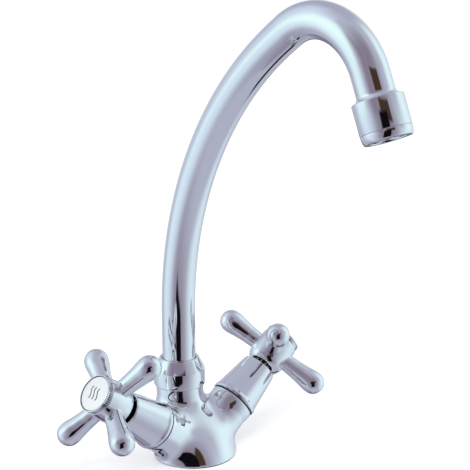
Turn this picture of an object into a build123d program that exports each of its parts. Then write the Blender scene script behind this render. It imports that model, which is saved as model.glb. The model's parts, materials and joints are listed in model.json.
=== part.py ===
from build123d import *

import os
from math import cos, pi, radians, sin

# A tall basin mixer for one tap hole: a cast body, a gooseneck spout that swivels in it,
# and two cross handles that turn quarter-turn ceramic valves.
# Millimetres and degrees. The origin is the centre of the base on the deck, Z is up, the
# spout points along -Y, the hot handle is on the -X side and the cold handle on the +X side.

SIDES = {"hot": -1, "cold": 1}

# Clearances between neighbouring pieces, on the radius
RUNNING = 0.05
SEATED = 0.02

# Body casting
BASE_RADIUS = 25.0
BASE_BAND = 9.0
BASE_EDGE = 1.2
NECK_RADIUS = 14.2
NECK_SETBACK = 14.3
NECK_FOOT_RISE = 30.4
NECK_RISE = 37.2
NECK_SECTIONS = 5
CAST_BLEND = 6.0
PORT_TILT = 36.3
PORT_UNDERSIDE = 4.531
PORT_RADIUS = 14.05
PORT_ROOT = 16.0
PORT_FACE = 37.2
PORT_EDGE = 0.4

# Underside of the body and the gasket
GASKET_THICKNESS = 1.5
GASKET_INSET = 1.2
GASKET_WIDTH = 6.6
GASKET_PROUD = 0.5
GASKET_PLAY = 0.2
RECESS_STEP = 0.7
RECESS_DEPTH = 3.5
STUD_HOLE_RADIUS = 3.4
STUD_HOLE_DEPTH = 10.0
STUD_SETBACK = -11.0
INLET_RADIUS = 4.46
INLET_DEPTH = 7.0
INLET_SPACING = 16.0

# Waterways inside the body
INLET_PASSAGE_RADIUS = 3.4
INLET_PASSAGE_OVERRUN = 2.2
SEAT_HOLE_RADIUS = 3.0
SEAT_HOLE_DEPTH = 3.2
MIX_HOLE_RADIUS = 2.8
MIX_REACH = 22.0

# Swivel seat of the spout in the neck
NECK_THREAD_RADIUS = 13.1
NECK_THREAD_LENGTH = 7.2
SOCKET_RADIUS = 11.4
SOCKET_DEPTH = 8.0
SPIGOT_BORE = 8.5
SPIGOT_BORE_DEPTH = 16.0
LOWER_RING_THICKNESS = 1.5
COLLAR_PROUD = 0.1
UPPER_RING_THICKNESS = 1.5
UPPER_RING_OUTER = 12.9
RING_PLAY = 0.1

# Spout nut
NUT_RADIUS = 15.4
NUT_BARREL = 0.35
NUT_BAND = 10.1
NUT_CONE = 7.2
NUT_TOP_RADIUS = 11.8
NUT_BOTTOM_ROUND = 1.2
NUT_LINE = 0.2
NUT_HOLE_PLAY = 0.3

# Spout tube: a short riser, a long forward lean, then the crown
TUBE_RADIUS = 10.0
TUBE_WALL = 1.5
RISER_LENGTH = 37.1
LEAN_RADIUS = 212.8
LEAN_ANGLE = 54.4
LEAN_RUN = 7.8
CROWN_RADIUS = 39.3
CROWN_ANGLE = 102.6
OUTLET_RUN = 12.7

# Foot of the spout
SPIGOT_LENGTH = 14.0
SPIGOT_WATERWAY = 6.3
STUB_LENGTH = 6.0
RING_SECTION = 0.75
RING_GROOVE = 1.7
RING_PITCH = 5.0
RING_SQUEEZE = 0.05

# Outlet cup and aerator
CUP_RADIUS = 13.4
CUP_EDGE = 0.4
CUP_LENGTH = 16.2
CUP_FILLET_LIP = 0.25
TUBE_INSERT = 6.0
AERATOR_THREAD = 12.0
AERATOR_RIM = 4.9
AERATOR_RIM_RADIUS = 13.3
AERATOR_END_RADIUS = 12.3
AERATOR_BORE = 10.3
AERATOR_LIP = 9.4
AERATOR_LIP_THICKNESS = 2.0
AERATOR_WASHER_THICKNESS = 2.0
AERATOR_WASHER_BORE = 8.0
SCREEN_THICKNESS = 0.6
SCREEN_HOLE = 0.75
SCREEN_PITCH = 1.15
CORE_HOLE = 1.1
CORE_HOLE_COUNT = 10
CORE_HOLE_CIRCLE = 6.5
CORE_FLANGE = 2.0
CORE_RADIUS = 8.6

# Shroud over the valve
SHROUD_RING_THICKNESS = 0.8
SHROUD_RING_WIDTH = 1.3
SHROUD_LENGTH = 27.4
SHROUD_WALL = 1.3
SHROUD_FOOT_RADIUS = 14.2
SHROUD_BEAD_RADIUS = 14.65
SHROUD_BEAD_HEIGHT = 3.0
SHROUD_WAIST_RADIUS = 13.9
SHROUD_TOP_RADIUS = 10.9
SHROUD_BEVEL = 0.7
SHROUD_COLLAR_START = 8.0
SHROUD_COLLAR_LENGTH = 5.0

# Valve (headwork) in each port
VALVE_BORE = 9.2
VALVE_BORE_DEPTH = 21.0
VALVE_THREAD = 10.45
VALVE_THREAD_LENGTH = 10.0
VALVE_SEAL_SECTION = 0.75
VALVE_SEAL_SEAT = 11.0
VALVE_HEX = 21.0
VALVE_HEX_HEIGHT = 6.0
VALVE_NECK_RADIUS = 8.0
VALVE_NECK_LENGTH = 12.0
CAGE_RADIUS = 9.0
CAGE_BORE = 7.6
CAGE_STANDOFF = 1.0
WINDOW_WIDTH = 7.0
WINDOW_HEIGHT = 3.6
SEAT_SEAL_THICKNESS = 2.5
SEAT_SEAL_BORE = 4.2
DISC_THICKNESS = 2.5
DISC_HOLE = 1.9
DISC_HOLE_CIRCLE = 4.4
DRIVE_WIDTH = 3.0
DRIVE_DEPTH = 1.2
DRIVE_LENGTH = 13.0
SPINDLE_FLANGE = 2.5
SPINDLE_RADIUS = 4.5
SPLINE_RADIUS = 4.0
SPLINE_TEETH = 20
SPLINE_NOTCH = 0.3
SPINDLE_SETBACK = 6.5
SPLINE_LENGTH = 15.0
SPINDLE_SEAL_SECTION = 0.6
SPINDLE_SEAL_START = 5.0
SPINDLE_SEAL_PITCH = 5.0
CIRCLIP_THICKNESS = 0.8
CIRCLIP_OUTER = 6.0
CIRCLIP_GROOVE = 0.7
CIRCLIP_MOUTH = 5.0
CIRCLIP_PLAY = 0.05

# Cross handle
HUB_GAP = 0.9
HUB_REAR = 17.0
HUB_SKIRT_RADIUS = 7.3
HUB_WAIST = 12.2
HUB_RADIUS = 12.0
HUB_BARREL = 0.2
HUB_BAND = 5.0
HUB_FRONT = 9.0
HUB_FRONT_RADIUS = 11.5
ARM_COUNT = 4
ARM_ROOT_RADIUS = 5.35
ARM_STRAIGHT = 13.0
ARM_BALL_REACH = 32.1
ARM_BALL_RADIUS = 7.2
ARM_BALL_MERGE = 20.0
ARM_PHASE = {"hot": -34.4, "cold": 41.1}
BUSH_RADIUS = 5.6
BUSH_LENGTH = 9.5
HUB_WEB = 3.6
WEB_GAP = 0.4
SCREW_RADIUS = 2.1
SCREW_HOLE_RADIUS = 2.6
SCREW_HEAD_RADIUS = 4.2
SCREW_HEAD_HEIGHT = 3.0
SCREW_LENGTH = 12.0
SCREW_KEY = 1.5
SCREW_KEY_DEPTH = 1.8
HUB_COUNTERBORE = 8.0

# Index cap on the handle
CAP_RADIUS = 11.3
CAP_HEIGHT = 3.4
CAP_RIM = 0.8
CAP_SPIGOT_LENGTH = 5.0
CAP_WALL = 1.5
KNURL_COUNT = 60
KNURL_RADIUS = 0.35
KNURL_MARGIN = 0.4
DISC_SEAT_RADIUS = 9.9
DISC_SEAT_DEPTH = 1.5
FACE_RISE = 0.65
FACE_SET_BACK = 0.45
MARK_DEPTH = 0.35
MARK_PROUD = 0.04
MARK_STROKE = 0.75
MARK_HALF_HEIGHT = 3.7
WAVE_SWING = 0.7
WAVE_PITCH = 2.9
FLAKE_TWIG = 1.0
FLAKE_FORK = 0.55


# The underside of each port leaves the base's side at PORT_UNDERSIDE. Both handle axes
# then meet on the base's centre line at this height.
port_offset = BASE_RADIUS - PORT_RADIUS * sin(radians(PORT_TILT))
port_climb = port_offset * sin(radians(PORT_TILT)) / cos(radians(PORT_TILT))
port_meet = PORT_UNDERSIDE + PORT_RADIUS * cos(radians(PORT_TILT)) - port_climb


def direction(side):
    """Outward direction of one handle axis."""
    return Vector(side * cos(radians(PORT_TILT)), 0, sin(radians(PORT_TILT)))


def upward(side):
    """Upward direction square to one handle axis."""
    return Vector(-side * sin(radians(PORT_TILT)), 0, cos(radians(PORT_TILT)))


def point_on_axis(side, distance):
    """Point on a handle axis, measured from where both axes meet."""
    return Vector(0, 0, port_meet) + direction(side) * distance


def across(side, distance):
    """Plane square to a handle axis, with its X direction upward."""
    return Plane(origin=point_on_axis(side, distance), x_dir=upward(side), z_dir=direction(side))


def facing(side, distance):
    """Plane square to a handle axis, upright as it is read from outside."""
    return Plane(
        origin=point_on_axis(side, distance),
        x_dir=upward(side).cross(direction(side)),
        z_dir=direction(side),
    )


def along(side):
    """Plane that holds a handle axis: X is the radius and Y the distance along the axis."""
    sideways = Vector(0, 1, 0)
    return Plane(
        origin=point_on_axis(side, 0), x_dir=sideways, z_dir=sideways.cross(direction(side))
    )


def handle_axis(side):
    """Axis that one handle turns about."""
    return Axis(point_on_axis(side, 0), direction(side))


# The riser stands on the swivel axis. In RISER_VIEW X is the radius and Y the height.
RISER_VIEW = Plane(origin=(0, NECK_SETBACK, 0), x_dir=(1, 0, 0), z_dir=(0, -1, 0))
RISER_AXIS = Axis((0, NECK_SETBACK, 0), (0, 0, 1))
BASE_VIEW = Plane.XZ
BASE_AXIS = Axis.Z

# Gasket and recess in the underside
gasket_outer = BASE_RADIUS - GASKET_INSET
gasket_inner = gasket_outer - GASKET_WIDTH
recess_radius = gasket_inner - RECESS_STEP
recess_ceiling = GASKET_PROUD + RECESS_DEPTH

# Heights of the neck and the swivel stack in it
neck_foot = port_meet + NECK_FOOT_RISE
neck_shoulder = port_meet + NECK_RISE
neck_top = neck_shoulder + NECK_THREAD_LENGTH
socket_floor = neck_top - SOCKET_DEPTH
collar_bottom = socket_floor + LOWER_RING_THICKNESS
collar_top = neck_top + COLLAR_PROUD
ring_top = collar_top + UPPER_RING_THICKNESS
nut_bottom = neck_shoulder + NUT_LINE
nut_crease = nut_bottom + NUT_BAND
nut_top = nut_crease + NUT_CONE
riser_top = collar_top + RISER_LENGTH

# Distances of the valve stack along a handle axis, from the bore's floor out
bore_floor = PORT_FACE - VALVE_BORE_DEPTH
cage_end = bore_floor + CAGE_STANDOFF
seal_top = bore_floor + SEAT_SEAL_THICKNESS
fixed_top = seal_top + DISC_THICKNESS
moving_top = fixed_top + DISC_THICKNESS
flange_top = moving_top + SPINDLE_FLANGE
thread_start = PORT_FACE - VALVE_THREAD_LENGTH
hex_top = PORT_FACE + VALVE_HEX_HEIGHT
valve_top = hex_top + VALVE_NECK_LENGTH
shroud_foot = PORT_FACE + SHROUD_RING_THICKNESS
shroud_top = shroud_foot + SHROUD_LENGTH

# Distances of the handle along its axis
handle_reach = shroud_top + HUB_GAP + HUB_WAIST
hub_rear = handle_reach - HUB_REAR
spindle_end = handle_reach - SPINDLE_SETBACK
web_rear = spindle_end + WEB_GAP
web_front = web_rear + HUB_WEB
hub_front = handle_reach + HUB_FRONT
cap_front = hub_front + CAP_HEIGHT
disc_seat = cap_front - DISC_SEAT_DEPTH
face_rim = cap_front - FACE_SET_BACK
face_crown = face_rim + FACE_RISE
face_radius = DISC_SEAT_RADIUS - RING_PLAY


def save(piece, name):
    """Labels a finished piece and writes its file."""
    piece.part.label = name
    export_step(piece.part, f"parts/{name}.step")


def turn(plane, axis, outline, mode=Mode.ADD):
    """Turns a closed outline of (radius, distance) points about an axis."""
    with BuildSketch(plane) as profile:
        with BuildLine():
            Polyline(*outline, close=True)
        make_face()
    revolve(profile.sketch, axis=axis, mode=mode)


def turn_tube(plane, axis, inner, outer, low, high, mode=Mode.ADD):
    """Turns a plain ring or, with no inner radius, a plain disc."""
    turn(plane, axis, [(inner, low), (outer, low), (outer, high), (inner, high)], mode)


def turn_ring(plane, axis, radius, distance, section):
    """Turns a ring of round section."""
    with BuildSketch(plane) as profile:
        with Locations((radius, distance)):
            Circle(section)
    revolve(profile.sketch, axis=axis)


def drill(start, end, radius):
    """Cuts a round hole between two points."""
    run = Vector(*end) - Vector(*start)
    with BuildSketch(Plane(origin=start, z_dir=run)) as section:
        Circle(radius)
    extrude(section.sketch, amount=run.length, mode=Mode.SUBTRACT)


def make_body():
    """The brass casting: base, two valve ports and the neck under the spout."""
    band_heights = [GASKET_PROUD, GASKET_PROUD + (BASE_BAND - GASKET_PROUD) / 2]
    with BuildPart() as body:
        for height in band_heights:
            with BuildSketch(Plane.XY.offset(height)):
                Circle(BASE_RADIUS)
        for step in range(NECK_SECTIONS + 1):
            share = step / NECK_SECTIONS
            ease = (1 - cos(pi * share)) / 2
            height = BASE_BAND + (neck_foot - BASE_BAND) * share
            with BuildSketch(Plane((0, NECK_SETBACK * ease, height))):
                Circle(BASE_RADIUS + (NECK_RADIUS - BASE_RADIUS) * ease)
        for height in ((neck_foot + neck_shoulder) / 2, neck_shoulder):
            with BuildSketch(Plane((0, NECK_SETBACK, height))):
                Circle(NECK_RADIUS)
        loft()

        trunk_edges = body.edges()
        for side in SIDES.values():
            with BuildSketch(across(side, PORT_ROOT)):
                Circle(PORT_RADIUS)
            extrude(amount=PORT_FACE - PORT_ROOT)
        port_rims = body.edges().filter_by(GeomType.CIRCLE).group_by(
            lambda edge: abs(edge.center().X)
        )[-1]
        meetings = [
            edge
            for edge in body.edges().filter_by(GeomType.LINE, reverse=True)
            if edge not in port_rims
            and all((edge.center() - old.center()).length > SEATED for old in trunk_edges)
        ]
        fillet(meetings, radius=CAST_BLEND)
        rims = body.edges().filter_by(GeomType.CIRCLE)
        chamfer(rims.group_by(lambda edge: abs(edge.center().X))[-1], length=PORT_EDGE)
        fillet(body.edges().group_by(Axis.Z)[0], radius=BASE_EDGE)
        turn_tube(RISER_VIEW, RISER_AXIS, 0, NECK_THREAD_RADIUS, neck_shoulder, neck_top)

        cut_underside()
        cut_swivel_seat()
        for side in SIDES.values():
            cut_valve_bore(side)
    save(body, "body")


def cut_underside():
    """Gasket rebate, hose inlets and stud hole in the underside."""
    rebate = gasket_outer + GASKET_PLAY
    inlet_top = recess_ceiling + INLET_DEPTH
    stud_top = recess_ceiling + STUD_HOLE_DEPTH
    turn_tube(BASE_VIEW, BASE_AXIS, 0, rebate, 0, GASKET_THICKNESS, Mode.SUBTRACT)
    turn_tube(BASE_VIEW, BASE_AXIS, 0, recess_radius, 0, recess_ceiling, Mode.SUBTRACT)
    drill((0, STUD_SETBACK, 0), (0, STUD_SETBACK, stud_top), STUD_HOLE_RADIUS)
    for side in SIDES.values():
        x = side * INLET_SPACING / 2
        seat_foot = point_on_axis(side, bore_floor - SEAT_HOLE_DEPTH)
        passage_top = seat_foot.Z + INLET_PASSAGE_OVERRUN
        drill((x, 0, 0), (x, 0, inlet_top), INLET_RADIUS)
        drill((x, 0, 0), (x, 0, passage_top), INLET_PASSAGE_RADIUS)


def cut_swivel_seat():
    """Socket for the spout's collar and bore for its spigot."""
    spigot_floor = socket_floor - SPIGOT_BORE_DEPTH
    turn_tube(
        RISER_VIEW, RISER_AXIS, 0, SOCKET_RADIUS, socket_floor, neck_top, Mode.SUBTRACT
    )
    turn_tube(
        RISER_VIEW, RISER_AXIS, 0, SPIGOT_BORE, spigot_floor, socket_floor, Mode.SUBTRACT
    )


def cut_valve_bore(side):
    """Threaded port, valve chamber, seat hole and the way to the neck."""
    plane = along(side)
    axis = handle_axis(side)
    relief = PORT_FACE - 2 * VALVE_SEAL_SECTION
    turn_tube(plane, axis, 0, VALVE_BORE, bore_floor, PORT_FACE, Mode.SUBTRACT)
    turn_tube(plane, axis, 0, VALVE_THREAD, thread_start, PORT_FACE, Mode.SUBTRACT)
    turn_tube(plane, axis, 0, VALVE_SEAL_SEAT, relief, PORT_FACE, Mode.SUBTRACT)
    turn_tube(
        plane, axis, 0, SEAT_HOLE_RADIUS, bore_floor - SEAT_HOLE_DEPTH, bore_floor, Mode.SUBTRACT
    )
    spigot_floor = socket_floor - SPIGOT_BORE_DEPTH
    neck_point = Vector(0, NECK_SETBACK, spigot_floor + MIX_HOLE_RADIUS)
    drill(neck_point, point_on_axis(side, MIX_REACH), MIX_HOLE_RADIUS)


def make_gasket():
    """Flat rubber gasket between the body and the deck."""
    with BuildPart() as gasket:
        turn_tube(BASE_VIEW, BASE_AXIS, gasket_inner, gasket_outer, 0, GASKET_THICKNESS)
    save(gasket, "base_gasket")


def make_spout_nut():
    """Collar nut that holds the spout down on the neck."""
    bore = NECK_THREAD_RADIUS + SEATED
    hole = TUBE_RADIUS + NUT_HOLE_PLAY
    lower_edge = nut_bottom + NUT_BOTTOM_ROUND
    with BuildPart() as nut:
        with BuildSketch(RISER_VIEW):
            with BuildLine():
                Polyline(
                    (NUT_RADIUS - NUT_BOTTOM_ROUND, nut_bottom),
                    (bore, nut_bottom),
                    (bore, ring_top),
                    (hole, ring_top),
                    (hole, nut_top),
                    (NUT_TOP_RADIUS, nut_top),
                    (NUT_RADIUS, nut_crease),
                )
                ThreePointArc(
                    (NUT_RADIUS, nut_crease),
                    (NUT_RADIUS + NUT_BARREL, (nut_crease + lower_edge) / 2),
                    (NUT_RADIUS, lower_edge),
                )
                RadiusArc(
                    (NUT_RADIUS, lower_edge),
                    (NUT_RADIUS - NUT_BOTTOM_ROUND, nut_bottom),
                    NUT_BOTTOM_ROUND,
                )
            make_face()
        revolve(axis=RISER_AXIS)
    save(nut, "spout_nut")


def make_swivel_rings():
    """Glide rings below and above the spout's collar."""
    with BuildPart() as lower:
        turn_tube(
            RISER_VIEW,
            RISER_AXIS,
            SPIGOT_BORE + RING_PLAY,
            SOCKET_RADIUS - RING_PLAY,
            socket_floor,
            collar_bottom,
        )
    save(lower, "lower_glide_ring")
    with BuildPart() as upper:
        turn_tube(
            RISER_VIEW,
            RISER_AXIS,
            TUBE_RADIUS + RING_PLAY,
            UPPER_RING_OUTER,
            collar_top,
            ring_top,
        )
    save(upper, "upper_glide_ring")


def make_spout_foot():
    """Turned foot brazed into the tube, with its collar, spigot and two O-rings."""
    spigot = SPIGOT_BORE - RUNNING
    collar = SOCKET_RADIUS - RUNNING
    stub = TUBE_RADIUS - TUBE_WALL - SEATED
    spigot_end = collar_bottom - SPIGOT_LENGTH
    groove = spigot - RING_GROOVE
    seal_centre = groove + RING_SECTION
    seal_levels = [
        spigot_end + RING_PITCH / 2 + RING_PITCH * step for step in range(2)
    ]
    with BuildPart() as foot:
        turn_tube(RISER_VIEW, RISER_AXIS, SPIGOT_WATERWAY, spigot, spigot_end, collar_bottom)
        turn_tube(RISER_VIEW, RISER_AXIS, SPIGOT_WATERWAY, collar, collar_bottom, collar_top)
        turn_tube(
            RISER_VIEW, RISER_AXIS, SPIGOT_WATERWAY, stub, collar_top, collar_top + STUB_LENGTH
        )
        for level in seal_levels:
            turn_tube(
                RISER_VIEW,
                RISER_AXIS,
                groove,
                SPIGOT_BORE,
                level - RING_SECTION - RING_SQUEEZE,
                level + RING_SECTION + RING_SQUEEZE,
                Mode.SUBTRACT,
            )
    save(foot, "spout_foot")
    with BuildPart() as rings:
        for level in seal_levels:
            turn_ring(RISER_VIEW, RISER_AXIS, seal_centre, level, RING_SECTION)
    save(rings, "spout_o_rings")


def spout_path():
    """Centre line of the tube, from the collar to the outlet cup's shoulder."""
    view = Plane(origin=(0, NECK_SETBACK, 0), x_dir=(0, -1, 0), z_dir=(-1, 0, 0))
    with BuildLine(view) as path:
        riser = Line((0, collar_top), (0, riser_top))
        lean = JernArc(riser @ 1, riser % 1, LEAN_RADIUS, -LEAN_ANGLE)
        run = PolarLine(lean @ 1, LEAN_RUN, direction=lean % 1)
        crown = JernArc(run @ 1, run % 1, CROWN_RADIUS, -CROWN_ANGLE)
        PolarLine(crown @ 1, OUTLET_RUN, direction=crown % 1)
    return path


def make_spout_tube(path):
    """Drawn tube of the gooseneck, carried on into the outlet cup."""
    wire = path.wire()
    shoulder = wire @ 1
    with BuildPart() as tube:
        with BuildSketch(Plane((0, NECK_SETBACK, collar_top))):
            Circle(TUBE_RADIUS)
            Circle(TUBE_RADIUS - TUBE_WALL, mode=Mode.SUBTRACT)
        sweep(path=wire)
        with BuildSketch(Plane(origin=shoulder, z_dir=wire % 1)):
            Circle(TUBE_RADIUS)
            Circle(TUBE_RADIUS - TUBE_WALL, mode=Mode.SUBTRACT)
        extrude(amount=TUBE_INSERT)
    save(tube, "spout_tube")


def outlet_view(path):
    """Plane that holds the outlet's axis: X is the radius and Y the distance past the shoulder."""
    wire = path.wire()
    return Plane(origin=wire @ 1, x_dir=(1, 0, 0), z_dir=Vector(1, 0, 0).cross(wire % 1))


def make_outlet(path):
    """Outlet cup brazed on the tube, and the aerator screwed into it."""
    wire = path.wire()
    plane = outlet_view(path)
    axis = Axis(wire @ 1, wire % 1)
    socket = TUBE_RADIUS + SEATED
    fillet_size = CUP_RADIUS - CUP_EDGE - socket - CUP_FILLET_LIP
    with BuildPart() as cup:
        with BuildSketch(plane):
            with BuildLine():
                Polyline(
                    (CUP_RADIUS, CUP_EDGE),
                    (CUP_RADIUS, CUP_LENGTH),
                    (AERATOR_THREAD, CUP_LENGTH),
                    (AERATOR_THREAD, TUBE_INSERT),
                    (socket, TUBE_INSERT),
                    (socket, -fillet_size),
                    (socket + CUP_FILLET_LIP, -fillet_size),
                )
                RadiusArc(
                    (socket + CUP_FILLET_LIP, -fillet_size),
                    (CUP_RADIUS - CUP_EDGE, 0),
                    fillet_size,
                )
                RadiusArc((CUP_RADIUS - CUP_EDGE, 0), (CUP_RADIUS, CUP_EDGE), -CUP_EDGE)
            make_face()
        revolve(axis=axis)
    save(cup, "outlet_cup")

    washer_top = TUBE_INSERT + AERATOR_WASHER_THICKNESS
    outlet_end = CUP_LENGTH + AERATOR_RIM
    lip_start = outlet_end - AERATOR_LIP_THICKNESS
    screen_start = lip_start - SCREEN_THICKNESS
    with BuildPart() as washer:
        turn_tube(
            plane, axis, AERATOR_WASHER_BORE, AERATOR_THREAD - RING_PLAY, TUBE_INSERT, washer_top
        )
    save(washer, "aerator_washer")

    with BuildPart() as housing:
        with BuildSketch(plane):
            with BuildLine():
                Polyline(
                    (AERATOR_RIM_RADIUS, CUP_LENGTH),
                    (AERATOR_THREAD - SEATED, CUP_LENGTH),
                    (AERATOR_THREAD - SEATED, washer_top),
                    (AERATOR_BORE, washer_top),
                    (AERATOR_BORE, lip_start),
                    (AERATOR_LIP, lip_start),
                    (AERATOR_LIP, outlet_end),
                    (AERATOR_END_RADIUS, outlet_end),
                )
                Spline(
                    (AERATOR_END_RADIUS, outlet_end),
                    (AERATOR_RIM_RADIUS, CUP_LENGTH),
                    tangents=[(1, -2), (0, -1)],
                )
            make_face()
        revolve(axis=axis)
    save(housing, "aerator_housing")

    with BuildPart() as core:
        turn_tube(
            plane, axis, 0, AERATOR_BORE - SEATED, washer_top, washer_top + CORE_FLANGE
        )
        turn_tube(plane, axis, 0, CORE_RADIUS, washer_top + CORE_FLANGE, screen_start)
        with BuildSketch(Plane(origin=wire @ 1 + (wire % 1) * washer_top, z_dir=wire % 1)):
            with PolarLocations(CORE_HOLE_CIRCLE, CORE_HOLE_COUNT):
                Circle(CORE_HOLE)
        extrude(amount=screen_start - washer_top, mode=Mode.SUBTRACT)
    save(core, "aerator_core")

    with BuildPart() as screen:
        turn_tube(plane, axis, 0, AERATOR_BORE - SEATED, screen_start, lip_start)
        with BuildSketch(Plane(origin=wire @ 1 + (wire % 1) * screen_start, z_dir=wire % 1)):
            with HexLocations(SCREEN_PITCH, 9, 9):
                Circle(SCREEN_HOLE)
        extrude(amount=SCREEN_THICKNESS, mode=Mode.SUBTRACT)
    save(screen, "aerator_screen")


def make_shroud(name, side):
    """Bell-shaped shroud screwed on the valve's neck, and the rubber ring at its foot."""
    bead_top = shroud_foot + SHROUD_BEAD_HEIGHT
    collar_start = shroud_foot + SHROUD_COLLAR_START
    collar_end = collar_start + SHROUD_COLLAR_LENGTH
    collar_bore = VALVE_NECK_RADIUS + SEATED
    cone_top = shroud_top - SHROUD_BEVEL

    def inside(distance):
        share = (distance - bead_top) / (cone_top - bead_top)
        outer = SHROUD_WAIST_RADIUS + (SHROUD_TOP_RADIUS - SHROUD_WAIST_RADIUS) * share
        return outer - SHROUD_WALL

    with BuildPart() as shroud:
        with BuildSketch(along(side)):
            with BuildLine():
                ThreePointArc(
                    (SHROUD_FOOT_RADIUS, shroud_foot),
                    (SHROUD_BEAD_RADIUS, shroud_foot + SHROUD_BEAD_HEIGHT / 3),
                    (SHROUD_WAIST_RADIUS, bead_top),
                )
                Polyline(
                    (SHROUD_WAIST_RADIUS, bead_top),
                    (SHROUD_TOP_RADIUS, cone_top),
                    (SHROUD_TOP_RADIUS - SHROUD_BEVEL, shroud_top),
                    (inside(cone_top), shroud_top),
                    (inside(cone_top), cone_top),
                    (inside(collar_end), collar_end),
                    (collar_bore, collar_end),
                    (collar_bore, collar_start),
                    (inside(collar_start), collar_start),
                    (inside(bead_top), bead_top),
                    (inside(bead_top), shroud_foot),
                    (SHROUD_FOOT_RADIUS, shroud_foot),
                )
            make_face()
        revolve(axis=handle_axis(side))
    save(shroud, f"{name}_shroud")

    ring_outer = inside(bead_top) + SHROUD_RING_WIDTH
    with BuildPart() as ring:
        turn_tube(
            along(side), handle_axis(side), inside(bead_top), ring_outer, PORT_FACE, shroud_foot
        )
    save(ring, f"{name}_shroud_ring")


def make_valve(name, side):
    """Brass valve housing with its hexagon, cage and outlet windows."""
    plane = along(side)
    axis = handle_axis(side)
    thread = VALVE_THREAD - SEATED
    relief = PORT_FACE - 2 * VALVE_SEAL_SECTION
    groove = VALVE_SEAL_SEAT - 2 * VALVE_SEAL_SECTION - 2 * RING_SQUEEZE
    bore = SPINDLE_RADIUS + RUNNING
    with BuildPart() as valve:
        turn_tube(plane, axis, 0, CAGE_RADIUS, cage_end, PORT_FACE)
        turn_tube(plane, axis, 0, thread, thread_start + SEATED, relief)
        turn_tube(plane, axis, 0, groove, relief, PORT_FACE)
        with BuildSketch(across(side, PORT_FACE)):
            RegularPolygon(radius=VALVE_HEX / 2, side_count=6, major_radius=False)
        extrude(amount=VALVE_HEX_HEIGHT)
        turn_tube(plane, axis, 0, VALVE_NECK_RADIUS, hex_top, valve_top)
        turn_tube(plane, axis, 0, bore, cage_end, valve_top, Mode.SUBTRACT)
        turn_tube(plane, axis, 0, CAGE_BORE, cage_end, flange_top + SEATED, Mode.SUBTRACT)
        with BuildSketch(across(side, fixed_top)):
            Rectangle(WINDOW_WIDTH, 2 * CAGE_RADIUS)
        extrude(amount=WINDOW_HEIGHT, mode=Mode.SUBTRACT)
    save(valve, f"{name}_valve")

    with BuildPart() as seal:
        turn_ring(
            plane,
            axis,
            VALVE_SEAL_SEAT - VALVE_SEAL_SECTION - RING_SQUEEZE,
            PORT_FACE - VALVE_SEAL_SECTION,
            VALVE_SEAL_SECTION - SEATED,
        )
    save(seal, f"{name}_valve_seal")

    with BuildPart() as seat_seal:
        turn_tube(plane, axis, SEAT_SEAL_BORE, CAGE_BORE - RING_PLAY, bore_floor, seal_top)
    save(seat_seal, f"{name}_seat_seal")


def make_discs(name, side):
    """Fixed and moving ceramic discs, a quarter turn apart when the valve is shut."""
    plane = along(side)
    axis = handle_axis(side)
    radius = CAGE_BORE - RUNNING
    with BuildPart() as fixed:
        turn_tube(plane, axis, 0, radius, seal_top, fixed_top)
        with BuildSketch(across(side, seal_top)):
            with PolarLocations(DISC_HOLE_CIRCLE, 2):
                Circle(DISC_HOLE)
        extrude(amount=DISC_THICKNESS, mode=Mode.SUBTRACT)
    save(fixed, f"{name}_fixed_disc")

    with BuildPart() as moving:
        turn_tube(plane, axis, 0, radius, fixed_top, moving_top)
        with BuildSketch(across(side, fixed_top)):
            with PolarLocations(DISC_HOLE_CIRCLE, 2, start_angle=90):
                Circle(DISC_HOLE)
        extrude(amount=DISC_THICKNESS, mode=Mode.SUBTRACT)
        with BuildSketch(across(side, moving_top - DRIVE_DEPTH)):
            Rectangle(2 * radius, DRIVE_WIDTH)
        extrude(amount=DRIVE_DEPTH, mode=Mode.SUBTRACT)
    save(moving, f"{name}_moving_disc")


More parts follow.
